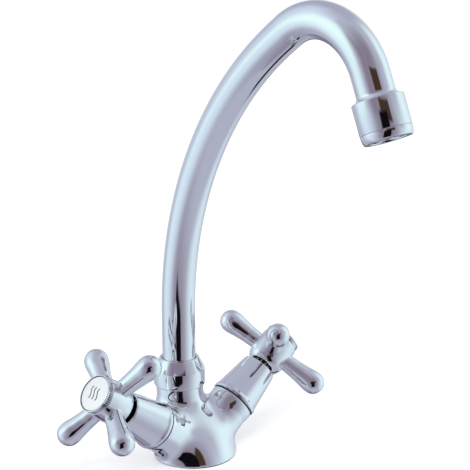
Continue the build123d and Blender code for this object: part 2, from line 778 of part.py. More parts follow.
def make_spindle(name, side):
    """Spindle with its drive tongue, two O-rings, a circlip and a splined end."""
    plane = along(side)
    axis = handle_axis(side)
    flange = CAGE_BORE - RUNNING
    spline_start = spindle_end - SPLINE_LENGTH
    groove = SPINDLE_RADIUS - 2 * SPINDLE_SEAL_SECTION
    seal_levels = [
        flange_top + SPINDLE_SEAL_START + SPINDLE_SEAL_PITCH * step for step in range(2)
    ]
    clip_bottom = valve_top + CIRCLIP_PLAY
    clip_top = clip_bottom + CIRCLIP_THICKNESS
    clip_groove = SPINDLE_RADIUS - CIRCLIP_GROOVE
    with BuildPart() as spindle:
        turn_tube(plane, axis, 0, flange, moving_top, flange_top)
        turn_tube(plane, axis, 0, SPINDLE_RADIUS, flange_top, spline_start)
        turn_tube(plane, axis, 0, SPLINE_RADIUS, spline_start, spindle_end)
        with BuildSketch(across(side, moving_top - DRIVE_DEPTH + SEATED)):
            Rectangle(DRIVE_LENGTH, DRIVE_WIDTH - 2 * SEATED)
        extrude(amount=DRIVE_DEPTH)
        for level in seal_levels:
            turn_tube(
                plane,
                axis,
                groove,
                SPINDLE_RADIUS,
                level - SPINDLE_SEAL_SECTION - RING_SQUEEZE,
                level + SPINDLE_SEAL_SECTION + RING_SQUEEZE,
                Mode.SUBTRACT,
            )
        turn_tube(
            plane, axis, clip_groove, SPINDLE_RADIUS, clip_bottom, clip_top, Mode.SUBTRACT
        )
        with BuildSketch(across(side, spline_start)):
            with PolarLocations(SPLINE_RADIUS, SPLINE_TEETH):
                Circle(SPLINE_NOTCH)
        extrude(amount=SPLINE_LENGTH, mode=Mode.SUBTRACT)
        turn_tube(
            plane,
            axis,
            0,
            SCREW_RADIUS + SEATED,
            web_front - SCREW_LENGTH,
            spindle_end,
            Mode.SUBTRACT,
        )
    save(spindle, f"{name}_spindle")

    with BuildPart() as rings:
        for level in seal_levels:
            turn_ring(plane, axis, groove + SPINDLE_SEAL_SECTION, level, SPINDLE_SEAL_SECTION)
    save(rings, f"{name}_spindle_o_rings")

    with BuildPart() as circlip:
        turn_tube(
            plane, axis, clip_groove + SEATED, CIRCLIP_OUTER, clip_bottom, clip_top
        )
        with BuildSketch(across(side, clip_bottom)):
            with Locations((CIRCLIP_OUTER / 2, 0)):
                Rectangle(CIRCLIP_OUTER, CIRCLIP_MOUTH)
        extrude(amount=CIRCLIP_THICKNESS, mode=Mode.SUBTRACT)
    save(circlip, f"{name}_circlip")


def add_arm(side, angle):
    """One arm of a cross: a tapering bar with a ball end."""
    centre = point_on_axis(side, handle_reach)
    plane = across(side, handle_reach)
    outward = plane.x_dir * cos(radians(angle)) + plane.y_dir * sin(radians(angle))
    view = Plane(origin=centre, x_dir=plane.z_dir, z_dir=plane.z_dir.cross(outward))
    lean = radians(ARM_BALL_MERGE)
    merge = (
        ARM_BALL_RADIUS * cos(lean),
        ARM_BALL_REACH - ARM_BALL_RADIUS * sin(lean),
    )
    with BuildSketch(view) as profile:
        with BuildLine():
            Polyline(
                (0, ARM_BALL_REACH + ARM_BALL_RADIUS),
                (0, 0),
                (ARM_ROOT_RADIUS, 0),
                (ARM_ROOT_RADIUS, ARM_STRAIGHT),
            )
            Spline(
                (ARM_ROOT_RADIUS, ARM_STRAIGHT),
                merge,
                tangents=[(0, 1), (sin(lean), cos(lean))],
            )
            ThreePointArc(
                merge,
                (ARM_BALL_RADIUS * cos(lean), ARM_BALL_REACH + ARM_BALL_RADIUS * sin(lean)),
                (0, ARM_BALL_REACH + ARM_BALL_RADIUS),
            )
        make_face()
    revolve(profile.sketch, axis=Axis(centre, outward))


def make_handle(name, side):
    """Cross handle: a barrel hub with a rear skirt and four arms."""
    plane = along(side)
    axis = handle_axis(side)
    waist = handle_reach - HUB_WAIST
    band_low = handle_reach - HUB_BAND
    band_high = handle_reach + HUB_BAND
    dome_lean = radians(45)
    dome_depth = band_low - waist
    dome_width = HUB_RADIUS - HUB_SKIRT_RADIUS
    with BuildPart() as handle:
        with BuildSketch(plane):
            with BuildLine():
                Polyline(
                    (HUB_FRONT_RADIUS, hub_front),
                    (0, hub_front),
                    (0, hub_rear),
                    (HUB_SKIRT_RADIUS, hub_rear),
                    (HUB_SKIRT_RADIUS, waist),
                )
                ThreePointArc(
                    (HUB_SKIRT_RADIUS, waist),
                    (
                        HUB_SKIRT_RADIUS + dome_width * sin(dome_lean),
                        band_low - dome_depth * sin(dome_lean),
                    ),
                    (HUB_RADIUS, band_low),
                )
                ThreePointArc(
                    (HUB_RADIUS, band_low),
                    (HUB_RADIUS + HUB_BARREL, handle_reach),
                    (HUB_RADIUS, band_high),
                )
                Line((HUB_RADIUS, band_high), (HUB_FRONT_RADIUS, hub_front))
            make_face()
        revolve(axis=axis)
        for step in range(ARM_COUNT):
            add_arm(side, ARM_PHASE[name] + step * 360 / ARM_COUNT)
        turn_tube(plane, axis, 0, BUSH_RADIUS, hub_rear, web_rear, Mode.SUBTRACT)
        turn_tube(plane, axis, 0, SCREW_HOLE_RADIUS, web_rear, web_front, Mode.SUBTRACT)
        turn_tube(plane, axis, 0, HUB_COUNTERBORE, web_front, hub_front, Mode.SUBTRACT)
    save(handle, f"{name}_handle")

    with BuildPart() as bush:
        turn_tube(
            plane,
            axis,
            SPLINE_RADIUS + SEATED,
            BUSH_RADIUS - SEATED,
            spindle_end - BUSH_LENGTH,
            spindle_end,
        )
    save(bush, f"{name}_spline_bush")

    with BuildPart() as screw:
        turn_tube(plane, axis, 0, SCREW_RADIUS, web_front - SCREW_LENGTH, web_front)
        turn_tube(
            plane, axis, 0, SCREW_HEAD_RADIUS, web_front, web_front + SCREW_HEAD_HEIGHT
        )
        with BuildSketch(across(side, web_front + SCREW_HEAD_HEIGHT - SCREW_KEY_DEPTH)):
            RegularPolygon(radius=SCREW_KEY, side_count=6, major_radius=False)
        extrude(amount=SCREW_KEY_DEPTH, mode=Mode.SUBTRACT)
    save(screw, f"{name}_handle_screw")


def make_index_cap(name, side):
    """Knurled cap that screws into the hub's front and holds the white disc."""
    plane = along(side)
    axis = handle_axis(side)
    spigot = HUB_COUNTERBORE - SEATED
    with BuildPart() as cap:
        turn_tube(plane, axis, 0, spigot, hub_front - CAP_SPIGOT_LENGTH, hub_front)
        turn_tube(plane, axis, 0, CAP_RADIUS, hub_front, cap_front)
        turn_tube(
            plane,
            axis,
            0,
            spigot - CAP_WALL,
            hub_front - CAP_SPIGOT_LENGTH,
            hub_front,
            Mode.SUBTRACT,
        )
        turn_tube(plane, axis, 0, DISC_SEAT_RADIUS, disc_seat, cap_front, Mode.SUBTRACT)
        with BuildSketch(across(side, hub_front + KNURL_MARGIN)):
            with PolarLocations(CAP_RADIUS, KNURL_COUNT):
                Circle(KNURL_RADIUS)
        extrude(amount=CAP_HEIGHT - CAP_RIM - KNURL_MARGIN, mode=Mode.SUBTRACT)
    save(cap, f"{name}_index_cap")


def trim_to_dome(side, raised):
    """Keeps what lies under the dome of the white disc, raised by a little for the inlay."""
    dome_radius = (face_radius**2 + FACE_RISE**2) / (2 * FACE_RISE)
    centre = point_on_axis(side, face_crown - dome_radius)
    with Locations(centre):
        Sphere(dome_radius + raised, rotation=(0, 0, 90), mode=Mode.INTERSECT)


def heat_waves(plane):
    """Three upright wavy strokes, for hot."""
    levels = [MARK_HALF_HEIGHT * quarter / 2 for quarter in range(-2, 3)]
    swings = [0, WAVE_SWING, 0, -WAVE_SWING, 0]
    with BuildSketch(plane) as motif:
        for column in (-1, 0, 1):
            left = column * WAVE_PITCH - MARK_STROKE / 2
            right = column * WAVE_PITCH + MARK_STROKE / 2
            with BuildLine():
                left_edge = Spline(*[(left + x, y) for x, y in zip(swings, levels)])
                right_edge = Spline(*[(right + x, y) for x, y in zip(swings, levels)])
                Line(left_edge @ 0, right_edge @ 0)
                Line(left_edge @ 1, right_edge @ 1)
            make_face()
    return motif


def snowflake(plane):
    """Six-armed flake with one pair of twigs on each arm, for cold."""
    fork = MARK_HALF_HEIGHT * FLAKE_FORK
    with BuildSketch(plane) as motif:
        for heading in (30, 90, 150):
            SlotOverall(2 * MARK_HALF_HEIGHT, MARK_STROKE, rotation=heading)
        for heading in range(30, 390, 60):
            x = fork * cos(radians(heading))
            y = fork * sin(radians(heading))
            for turn_off in (-60, 60):
                twig = radians(heading + turn_off)
                reach_x = FLAKE_TWIG / 2 * cos(twig)
                reach_y = FLAKE_TWIG / 2 * sin(twig)
                with Locations((x + reach_x, y + reach_y)):
                    SlotCenterToCenter(FLAKE_TWIG, MARK_STROKE, rotation=heading + turn_off)
    return motif


def make_index_face(name, side):
    """White domed disc of the index cap with its inlaid mark."""
    floor = facing(side, face_rim - MARK_DEPTH)
    motif = heat_waves(floor) if name == "hot" else snowflake(floor)
    height = MARK_DEPTH + 2 * FACE_RISE
    with BuildPart() as disc:
        turn_tube(
            along(side), handle_axis(side), 0, face_radius, disc_seat, face_crown + FACE_RISE
        )
        trim_to_dome(side, 0)
        extrude(motif.sketch, amount=height, mode=Mode.SUBTRACT)
    save(disc, f"{name}_index_disc")
    with BuildPart() as mark:
        extrude(motif.sketch, amount=height)
        trim_to_dome(side, MARK_PROUD)
    save(mark, f"{name}_index_mark")


os.makedirs("parts", exist_ok=True)
make_body()
make_gasket()
make_spout_nut()
make_swivel_rings()
make_spout_foot()
tube_path = spout_path()
make_spout_tube(tube_path)
make_outlet(tube_path)
for label, sign in SIDES.items():
    make_shroud(label, sign)
    make_valve(label, sign)
    make_discs(label, sign)
    make_spindle(label, sign)
    make_handle(label, sign)
    make_index_cap(label, sign)
    make_index_face(label, sign)
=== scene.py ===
# %% [markdown]
# # A tall basin mixer in polished chrome
# The real tap is a plated brass casting with a swivelling gooseneck and two cross handles.
# The working parts come in as a fixed frame. This lesson dresses them: every plated piece is
# modelled again as a smooth, dense mesh, because a mirror shows each facet of a coarse one.

# %% Load the frame
import json
from math import atan2, cos, hypot, pi, radians, sin, sqrt, tan

import bpy
import numpy as np
from mathutils import Matrix, Vector


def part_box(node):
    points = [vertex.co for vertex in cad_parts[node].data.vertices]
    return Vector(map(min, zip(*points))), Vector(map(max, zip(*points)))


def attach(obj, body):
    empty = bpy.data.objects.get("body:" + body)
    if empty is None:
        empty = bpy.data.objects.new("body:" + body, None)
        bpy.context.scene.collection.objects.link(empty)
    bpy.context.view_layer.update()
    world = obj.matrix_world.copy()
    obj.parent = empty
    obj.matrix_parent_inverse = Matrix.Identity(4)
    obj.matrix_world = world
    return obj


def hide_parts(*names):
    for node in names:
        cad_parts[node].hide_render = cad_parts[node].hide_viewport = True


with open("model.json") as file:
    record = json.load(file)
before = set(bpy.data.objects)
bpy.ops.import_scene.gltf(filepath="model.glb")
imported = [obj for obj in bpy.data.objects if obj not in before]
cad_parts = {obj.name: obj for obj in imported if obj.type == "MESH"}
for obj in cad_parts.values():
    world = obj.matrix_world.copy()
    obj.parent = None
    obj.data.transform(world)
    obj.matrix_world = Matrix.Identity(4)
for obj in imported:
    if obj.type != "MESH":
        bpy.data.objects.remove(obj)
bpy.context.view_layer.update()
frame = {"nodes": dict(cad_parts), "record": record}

print("nodes:", len(frame["nodes"]))

# %% [markdown]
# ## Units and the lines that the tap is built on
# Sizes are written in millimetres, as on a drawing, and turned into metres where they are used.
# Both handle axes lie in the plane y = 0 and meet low in the base. The riser stands behind them.

# %% Sizes of the layout
MM = 0.001
TILT = radians(36.3)
MEET_HEIGHT = 3.6
RISER_BACK = 14.3
SIDES = {"hot": -1, "cold": 1}


def outward(side):
    """Direction of a handle's axis, away from the body."""
    return Vector((side * cos(TILT), 0, sin(TILT)))


def upward(side):
    """Direction square to a handle's axis, up the face of its cap."""
    return Vector((-side * sin(TILT), 0, cos(TILT)))


def frame_at(origin_mm, along, across):
    """Matrix whose Z runs along one direction and whose Y points across it."""
    z = Vector(along).normalized()
    y = Vector(across).normalized()
    x = y.cross(z)
    turn = Matrix((x, y, z)).transposed().to_4x4()
    return Matrix.Translation(Vector(origin_mm) * MM) @ turn


def handle_frame(side, distance):
    """Frame on a handle's axis, a distance in millimetres from where both axes meet."""
    origin = Vector((0, 0, MEET_HEIGHT)) + outward(side) * distance
    return frame_at(origin, outward(side), upward(side))


RISER_FRAME = Matrix.Translation((0, RISER_BACK * MM, 0))
print("hot axis points", tuple(round(v, 3) for v in outward(-1)))

# %% [markdown]
# ## Small tools for the bench
# Operators act on whatever is selected, so each step starts by clearing the selection. A new
# piece is modelled at the origin, standing on Z, and then laid in its place.

# %% Selecting and placing


def take(piece):
    """Makes one object the only selected one."""
    bpy.ops.object.select_all(action="DESELECT")
    bpy.context.view_layer.objects.active = piece
    piece.select_set(True)


def apply_all_modifiers(piece):
    """Applies every modifier, from the top down."""
    take(piece)
    for modifier in list(piece.modifiers):
        bpy.ops.object.modifier_apply(modifier=modifier.name)


def lay_in_place(piece, placing):
    """Moves a piece by a matrix and keeps the place in its mesh."""
    take(piece)
    piece.matrix_world = placing @ piece.matrix_world
    bpy.ops.object.transform_apply(location=True, rotation=True, scale=True)


def tidy_mesh(piece, seam=1e-6):
    """Merges doubled points and turns all faces outward."""
    take(piece)
    bpy.ops.object.mode_set(mode="EDIT")
    bpy.ops.mesh.select_all(action="SELECT")
    bpy.ops.mesh.remove_doubles(threshold=seam)
    bpy.ops.mesh.normals_make_consistent(inside=False)
    bpy.ops.object.mode_set(mode="OBJECT")


def join_or_cut(piece, tool, operation):
    """Joins a closed tool to a piece or cuts it out, and clears the tool away."""
    step = piece.modifiers.new("step", "BOOLEAN")
    step.operation = operation
    step.object = tool
    apply_all_modifiers(piece)
    bpy.data.objects.remove(tool)


def polish(piece, crease=28):
    """Smooth shading that breaks at creases sharper than an angle."""
    take(piece)
    bpy.ops.object.shade_smooth_by_angle(angle=radians(crease))


def fit_out(piece, body, node):
    """Rides a finished piece on its body, in place of its plain solid."""
    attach(piece, body)
    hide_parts(node)
    corners = np.array([vertex.co for vertex in piece.data.vertices])
    piece_box = np.array((corners.min(0), corners.max(0)))
    off = float(np.abs(piece_box - np.array(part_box(node))).max()) / MM
    print(f"{piece.name}: {len(piece.data.polygons)} faces, {off:.2f} mm off the box of {node}")


# %% [markdown]
# ## Turning on a lathe
# Most pieces of a tap come off a lathe. One ring of points is added at the first radius, then
# extruded and resized along the outline, one step for each point of the drawing. A ring that
# comes back to the first one closes a wall, and a ring of no size closes an end.

# %% The lathe
TURN_STEPS = 144
POLE = 0.001


def select_points(piece, wanted):
    """Leaves edit mode with only the points selected that a test accepts."""
    take(piece)
    bpy.ops.object.mode_set(mode="EDIT")
    bpy.ops.mesh.select_mode(type="VERT")
    bpy.ops.mesh.select_all(action="DESELECT")
    bpy.ops.object.mode_set(mode="OBJECT")
    for vertex in piece.data.vertices:
        vertex.select = wanted(vertex.co / MM)


def darken(piece, paint, wanted):
    """Gives a second material to the faces whose points all pass a test."""
    piece.data.materials.append(paint)
    select_points(piece, wanted)
    bpy.ops.object.mode_set(mode="EDIT")
    bpy.ops.mesh.select_mode(type="FACE")
    piece.active_material_index = len(piece.data.materials) - 1
    bpy.ops.object.material_slot_assign()
    bpy.ops.mesh.select_mode(type="VERT")
    bpy.ops.object.mode_set(mode="OBJECT")


def turned(name, outline, steps=TURN_STEPS, capped=False):
    """Turns an outline of (radius, height) points, in millimetres, about Z."""
    bpy.ops.object.select_all(action="DESELECT")
    radius, height = outline[0]
    bpy.ops.mesh.primitive_circle_add(
        vertices=steps, radius=max(radius, POLE) * MM, location=(0, 0, height * MM)
    )
    piece = bpy.context.object
    piece.name = name
    bpy.ops.object.transform_apply(location=True)
    bpy.ops.object.mode_set(mode="EDIT")
    bpy.ops.mesh.select_mode(type="EDGE")
    bpy.ops.mesh.select_all(action="SELECT")
    for next_radius, next_height in outline[1:]:
        scale = max(next_radius, POLE) / max(radius, POLE)
        rise = (0, 0, (next_height - height) * MM)
        bpy.ops.mesh.extrude_edges_move(TRANSFORM_OT_translate={"value": rise})
        bpy.ops.transform.resize(
            value=(scale, scale, 1), center_override=(0, 0, next_height * MM)
        )
        radius, height = next_radius, next_height
    bpy.ops.object.mode_set(mode="OBJECT")
    if capped:
        take(piece)
        bpy.ops.object.mode_set(mode="EDIT")
        bpy.ops.mesh.select_all(action="SELECT")
        bpy.ops.mesh.fill_holes(sides=0)
        bpy.ops.object.mode_set(mode="OBJECT")
    tidy_mesh(piece, seam=POLE * 3 * MM)
    return piece


def rounded(outline, corners, parts=5):
    """Puts an arc on some corners of an outline: corners maps a point's index to a radius."""
    points = []
    for index, point in enumerate(outline):
        if index not in corners:
            points.append(point)
            continue
        here = Vector(point)
        back = (Vector(outline[index - 1]) - here).normalized()
        on = (Vector(outline[(index + 1) % len(outline)]) - here).normalized()
        half = back.angle(on) / 2
        reach = corners[index] / tan(half)
        centre = here + (back + on).normalized() * (corners[index] / sin(half))
        start = here + back * reach - centre
        end = here + on * reach - centre
        sweep = start.angle(end)
        for step in range(parts + 1):
            share = step / parts
            spoke = start * sin((1 - share) * sweep) + end * sin(share * sweep)
            points.append(tuple(centre + spoke / sin(sweep)))
    return points


def smooth_line(knots, parts=6):
    """Points of a smooth curve that passes through every knot."""
    ends = [knots[0], *knots, knots[-1]]
    points = []
    for a, b, c, d in zip(ends, ends[1:], ends[2:], ends[3:]):
        a, b, c, d = (Vector(knot) for knot in (a, b, c, d))
        for step in range(parts):
            t = step / parts
            bend = 2 * b + (c - a) * t
            bend += (2 * a - 5 * b + 4 * c - d) * t**2
            bend += (3 * b - a - 3 * c + d) * t**3
            points.append(tuple(bend / 2))
    return [*points, tuple(knots[-1])]


print("lathe steps per turn:", TURN_STEPS)

# %% [markdown]
# ## The camera
# The photograph was taken from the left and a little above, from under a metre away. The
# camera stands there, with the long lens that gives the same narrow perspective. Another
# program fitted its place, turn and lens to the outlines of the tap's parts.

# %% Camera
CAMERA_PLACE = (-0.503622, -0.615766, 0.346108)
CAMERA_TURN = (75.2637, 0.27463, -41.14244)
CAMERA_LENS = 107.697

bpy.ops.object.select_all(action="DESELECT")
bpy.ops.object.camera_add(
    location=CAMERA_PLACE, rotation=[radians(angle) for angle in CAMERA_TURN]
)
camera = bpy.context.object
camera.name = "camera"
camera.data.lens = CAMERA_LENS
camera.data.sensor_width = 36
camera.data.clip_start = 0.01
bpy.context.scene.camera = camera
bpy.context.scene.view_settings.view_transform = "Standard"
print("camera is", round(Vector(CAMERA_PLACE).length, 3), "m from the base")

# %% [markdown]
# ## Shader sums written as Python
# A material is a graph of nodes, and long graphs are hard to read as code. This small class
# wraps a socket, so that an expression such as mask * 0.5 + 0.2 adds its own Math nodes.


# %% Shader helper
def linear(red, green, blue):
    """Turns a display colour of 0 to 255 into the linear colour that shaders use."""
    shares = (red / 255, green / 255, blue / 255)
    toe = 0.04045
    return tuple(v / 12.92 if v < toe else ((v + 0.055) / 1.055) ** 2.4 for v in shares)


class Wire:
    """A shader value that can be added, multiplied and so on."""

    def __init__(self, tree, socket):
        self.tree = tree
        self.socket = socket

    def node(self, kind, settings=None, **inputs):
        """Adds any other node: settings first, then values or links for its sockets."""
        made = self.tree.nodes.new(kind)
        for key, value in (settings or {}).items():
            setattr(made, key, value)
        for key, value in inputs.items():
            wanted = key.replace("_", " ")
            index = int(wanted[1:]) if wanted[1:].isdigit() else wanted
            target = made.inputs[index]
            if isinstance(value, Wire):
                self.tree.links.new(value.socket, target)
            else:
                target.default_value = value
        return made

    def out(self, made, name=0):
        """Wraps an output of a node."""
        return Wire(self.tree, made.outputs[name])

    def maths(self, operation, a, b=0.0):
        """Adds one Math node."""
        return self.out(self.node("ShaderNodeMath", {"operation": operation}, i0=a, i1=b))

    def __add__(self, other):
        return self.maths("ADD", self, other)

    def __sub__(self, other):
        return self.maths("SUBTRACT", self, other)

    def __mul__(self, other):
        return self.maths("MULTIPLY", self, other)

    def __abs__(self):
        return self.maths("ABSOLUTE", self)

    def fade(self, start, end):
        """Goes smoothly from 1 at start to 0 at end."""
        made = self.node(
            "ShaderNodeMapRange",
            {"interpolation_type": "SMOOTHSTEP"},
            Value=self,
            From_Min=start,
            From_Max=end,
            To_Min=1.0,
            To_Max=0.0,
        )
        return self.out(made)

    def blend(self, under, over):
        """Mixes two colours, with this value as the share of the second."""
        ends = [colour if isinstance(colour, Wire) else (*colour, 1) for colour in (under, over)]
        made = self.node("ShaderNodeMix", {"data_type": "RGBA"}, i0=self, i6=ends[0], i7=ends[1])
        return self.out(made, 2)


# %% [markdown]
# ## A light tent for a mirror
# Chrome has no colour of its own and only shows the room. Taps are photographed in a tent of
# pale cloth with a large soft light on each side, and the camera looks in through an opening.
# That opening is the dark patch on every ball and barrel of the photograph. The world paints
# the tent by direction: azimuth is counted from +X, elevation from the horizon, in degrees.
# A patch's tilt says how far it climbs for each degree to its side. These numbers weren't
# designed: another program fitted the cloth and 14 patches to the colours that the photographed
# chrome shows, and some were changed, dropped or added afterwards.

# %% Tent
TENT_CLOTH = linear(172, 176, 194)
TENT_PATCHES = [
    # colour, azimuth, half width, softness, elevation, half height, softness, tilt
    (linear(140, 137, 159), 100, 40, 55, -78, 2, 50, 0),
    (linear(204, 211, 220), 39, 40, 14, 9, 29, 11, -0.2),
    (linear(193, 204, 222), 95, 50, 20, 32, 11, 38, 0),
    (linear(166, 168, 188), 44, 15, 55, 53, 18, 31, -0.4),
    (linear(122, 120, 140), 66, 10, 8, -25, 2, 18, -0.8),
    (linear(98, 88, 108), 48, 3, 18, -15, 3, 18, 0),
    (linear(20, 18, 24), 45, 42, 10, -63, 4, 3, 0),
    (linear(131, 123, 140), -130, 12, 58, 18, 28, 48, 0.1),
    (linear(132, 121, 143), 179, 24, 10, 22, 8, 17, 0.2),
    (linear(209, 227, 238), -28, 10, 53, -15, 19, 25, -0.1),
    (linear(222, 243, 251), -20, 4, 34, 20, 10, 44, 0.2),
    (linear(209, 227, 242), 140, 2, 58, 5, 22, 30, -0.3),
    (linear(230, 255, 255), 143, 8, 22, 14, 5, 27, 0.4),
    (linear(66, 50, 40), -119, 18, 5, 23, 6, 4, 0.08),
    (linear(14, 11, 16), -131, 14, 5, -2, 20, 4, 0.22),
]
CHROME_SHARE = 0.93
FILL_LIGHT = 0.72

world = bpy.data.worlds.new("light_tent")
world.use_nodes = True
bpy.context.scene.world = world
tree = world.node_tree
tree.nodes.clear()
sky = Wire(tree, None)
coordinates = sky.node("ShaderNodeTexCoord")
split = sky.node("ShaderNodeSeparateXYZ", Vector=sky.out(coordinates, "Generated"))
x, y, z = (sky.out(split, axis) for axis in "XYZ")
azimuth = x.maths("ARCTAN2", y, x)
elevation = z.maths("ARCSINE", z)


def patch_mask(turn, half_width, soft_side, lift, half_height, soft_edge, tilt):
    """A soft-edged rectangle in the tent, seen from its middle."""
    sideways = azimuth - radians(turn)
    wrapped = sideways.node("ShaderNodeMath", {"operation": "WRAP"}, i0=sideways, i1=pi, i2=-pi)
    sideways = sideways.out(wrapped)
    wide = abs(sideways).fade(radians(half_width), radians(half_width + soft_side))
    high = abs(elevation - radians(lift) - sideways * tilt).fade(
        radians(half_height), radians(half_height + soft_edge)
    )
    return wide * high


tent = None
for patch_colour, *place in TENT_PATCHES:
    tent = patch_mask(*place).blend(tent or TENT_CLOTH, patch_colour)

path = sky.node("ShaderNodeLightPath")
camera_ray = sky.out(path, "Is Camera Ray")
plain_level = camera_ray * (1 - FILL_LIGHT) + FILL_LIGHT
plain_light = sky.node("ShaderNodeBackground", Color=(1, 1, 1, 1), Strength=plain_level)
seen_in_metal = sky.node("ShaderNodeBackground", Color=tent, Strength=1 / CHROME_SHARE)
choice = sky.node(
    "ShaderNodeMixShader",
    Fac=sky.out(path, "Is Glossy Ray"),
    i1=sky.out(plain_light),
    i2=sky.out(seen_in_metal),
)
sky.node("ShaderNodeOutputWorld", Surface=sky.out(choice))
print("tent patches:", len(TENT_PATCHES))

# %% [markdown]
# ## Floor and a soft key light
# The floor is plain and pale and runs out of sight. It is painted a little brighter than it is
# lit, so that it reads as white while the tap's shadow stays on it. The key light fills the
# white caps and the rubber, and metal doesn't show it, because the tent is what metal shows.

# %% Floor and key
FLOOR_SIZE = 6.0
FLOOR_GLOW = 0.36

bpy.ops.object.select_all(action="DESELECT")
bpy.ops.mesh.primitive_plane_add(size=FLOOR_SIZE, location=(0, 0, 0))
floor = bpy.context.object
floor.name = "floor"
floor.visible_glossy = False
floor_paint = bpy.data.materials.new("floor_paint")
floor_paint.use_nodes = True
floor_shader = floor_paint.node_tree.nodes["Principled BSDF"]
floor_shader.inputs["Base Color"].default_value = (0.92, 0.92, 0.93, 1)
floor_shader.inputs["Roughness"].default_value = 0.9
floor_shader.inputs["Specular IOR Level"].default_value = 0.0
floor_shader.inputs["Emission Color"].default_value = (1, 1, 1, 1)
floor_shader.inputs["Emission Strength"].default_value = FLOOR_GLOW
floor.data.materials.append(floor_paint)

bpy.ops.object.light_add(type="AREA", location=(-0.9, -0.7, 1.4))
key = bpy.context.object
key.name = "key_light"
key.data.shape = "DISK"
key.data.size = 0.9
key.data.energy = 9
key.rotation_euler = Vector((0.9, 0.7, -1.3)).to_track_quat("-Z", "Y").to_euler()
key.visible_glossy = False
print("floor is", FLOOR_SIZE, "m wide")

# %% [markdown]
# ## Finishes
# The plating is a mirror with a little life in it: buffing leaves the faintest haze that comes
# and goes over a few centimetres, and the thin metal under it is never perfectly flat. So the
# noise drives Roughness between two low values, and a very weak Bump bends the normals.


# %% Plated metal
def new_finish(name):
    """A material with its main shader and a wire to build on."""
    made = bpy.data.materials.new(name)
    made.use_nodes = True
    made.node_tree.nodes["Principled BSDF"].distribution = "MULTI_GGX"
    wire = Wire(made.node_tree, None)
    place = wire.out(wire.node("ShaderNodeTexCoord"), "Object")
    return made, made.node_tree.nodes["Principled BSDF"], place


def noise(place, scale, detail=3.0, roughness=0.5, distortion=0.0):
    """A cloudy value from 0 to 1."""
    made = place.node(
        "ShaderNodeTexNoise",
        Vector=place,
        Scale=scale,
        Detail=detail,
        Roughness=roughness,
        Distortion=distortion,
    )
    return place.out(made)


def feed(shader, name, value):
    """Sets a socket to a value or joins a wire to it."""
    if isinstance(value, Wire):
        value.tree.links.new(value.socket, shader.inputs[name])
    elif isinstance(value, tuple):
        shader.inputs[name].default_value = (*value, 1)
    else:
        shader.inputs[name].default_value = value


def bump(place, height, strength, distance):
    """Turns a height into a bent normal."""
    made = place.node("ShaderNodeBump", Strength=strength, Distance=distance, Height=height)
    return place.out(made)


def plated(name, tint, low, high, wave):
    """Polished plating: tint, the two ends of its roughness and how uneven its skin is."""
    finish, shader, place = new_finish(name)
    haze = noise(place, 55.0, detail=4.0, roughness=0.6)
    smear = noise(place, 9.0, detail=2.0, distortion=1.5)
    film = haze * 0.45 + smear * 0.55
    feed(shader, "Metallic", 1.0)
    feed(shader, "Roughness", film.fade(0.62, 0.4) * (low - high) + high)
    feed(shader, "Base Color", film.blend(tint, tuple(c * 0.96 for c in tint)))
    feed(shader, "Normal", bump(place, noise(place, 38.0, detail=1.0), wave, 0.0004))
    return finish


chrome = plated("polished_plating", (0.93, 0.935, 0.94), 0.02, 0.05, 0.03)
# Painted shade: a dark plating for the floors of the knurl grooves, where little light reaches.
groove_shade = plated("knurl_groove_painted_shade", (0.07, 0.065, 0.08), 0.2, 0.3, 0.03)
print("finish:", chrome.name)

# %% [markdown]
# ## The other finishes
# Rubber is nearly black with a dusty bloom. The discs on the caps are white enamel under a
# clear coat. The brass and steel inside are as they leave the machine, with a fine grain.


# %% Rubber, enamel, brass and the rest
def moulded(name, dark, pale, rough_low, rough_high, grain, coat=0.0):
    """A moulded or fired surface that clouds between two colours."""
    finish, shader, place = new_finish(name)
    cloud = noise(place, 120.0, detail=5.0)
    speck = noise(place, 1500.0, detail=2.0)
    feed(shader, "Base Color", cloud.blend(dark, pale))
    feed(shader, "Roughness", cloud * (rough_high - rough_low) + rough_low)
    feed(shader, "Coat Weight", coat)
    feed(shader, "Coat Roughness", 0.04)
    feed(shader, "Normal", bump(place, speck, grain, 0.0002))
    return finish


def machined(name, tint, worn, rough):
    """Bare metal that clouds between two tints and keeps a fine grain from the tool."""
    finish, shader, place = new_finish(name)
    cloud = noise(place, 60.0, detail=4.0)
    grain = noise(place, 900.0, detail=1.0, distortion=0.3)
    feed(shader, "Metallic", 1.0)
    feed(shader, "Base Color", cloud.blend(tint, worn))
    feed(shader, "Roughness", grain * 0.14 + rough)
    feed(shader, "Normal", bump(place, grain, 0.12, 0.0002))
    return finish


rubber = moulded("dusty_rubber", (0.012, 0.012, 0.013), (0.024, 0.024, 0.026), 0.5, 0.7, 0.25)
enamel = moulded("white_enamel", (0.80, 0.84, 0.87), (0.85, 0.88, 0.90), 0.12, 0.2, 0.03, 1.0)
# The grey of the signs, also used as painted shadow round the edge of each white disc.
inlay_and_edge_shadow = moulded("grey_inlay_and_edge_shadow", (0.045, 0.045, 0.06), (0.07, 0.07, 0.085), 0.3, 0.42, 0.1)
acetal = moulded("acetal", (0.74, 0.74, 0.70), (0.82, 0.82, 0.78), 0.35, 0.5, 0.1)
# The aerator's own dark plastic, also used as painted shade on the flat end of the aerator rim.
dark_plastic_and_rim_shade = moulded("aerator_plastic_and_rim_shade", (0.10, 0.10, 0.11), (0.15, 0.15, 0.16), 0.4, 0.55, 0.2)
alumina = moulded("alumina", (0.78, 0.77, 0.73), (0.84, 0.83, 0.79), 0.2, 0.3, 0.05)
brass = machined("turned_brass", (0.72, 0.55, 0.27), (0.62, 0.45, 0.2), 0.22)
steel = machined("stainless_steel", (0.62, 0.62, 0.63), (0.52, 0.52, 0.54), 0.24)

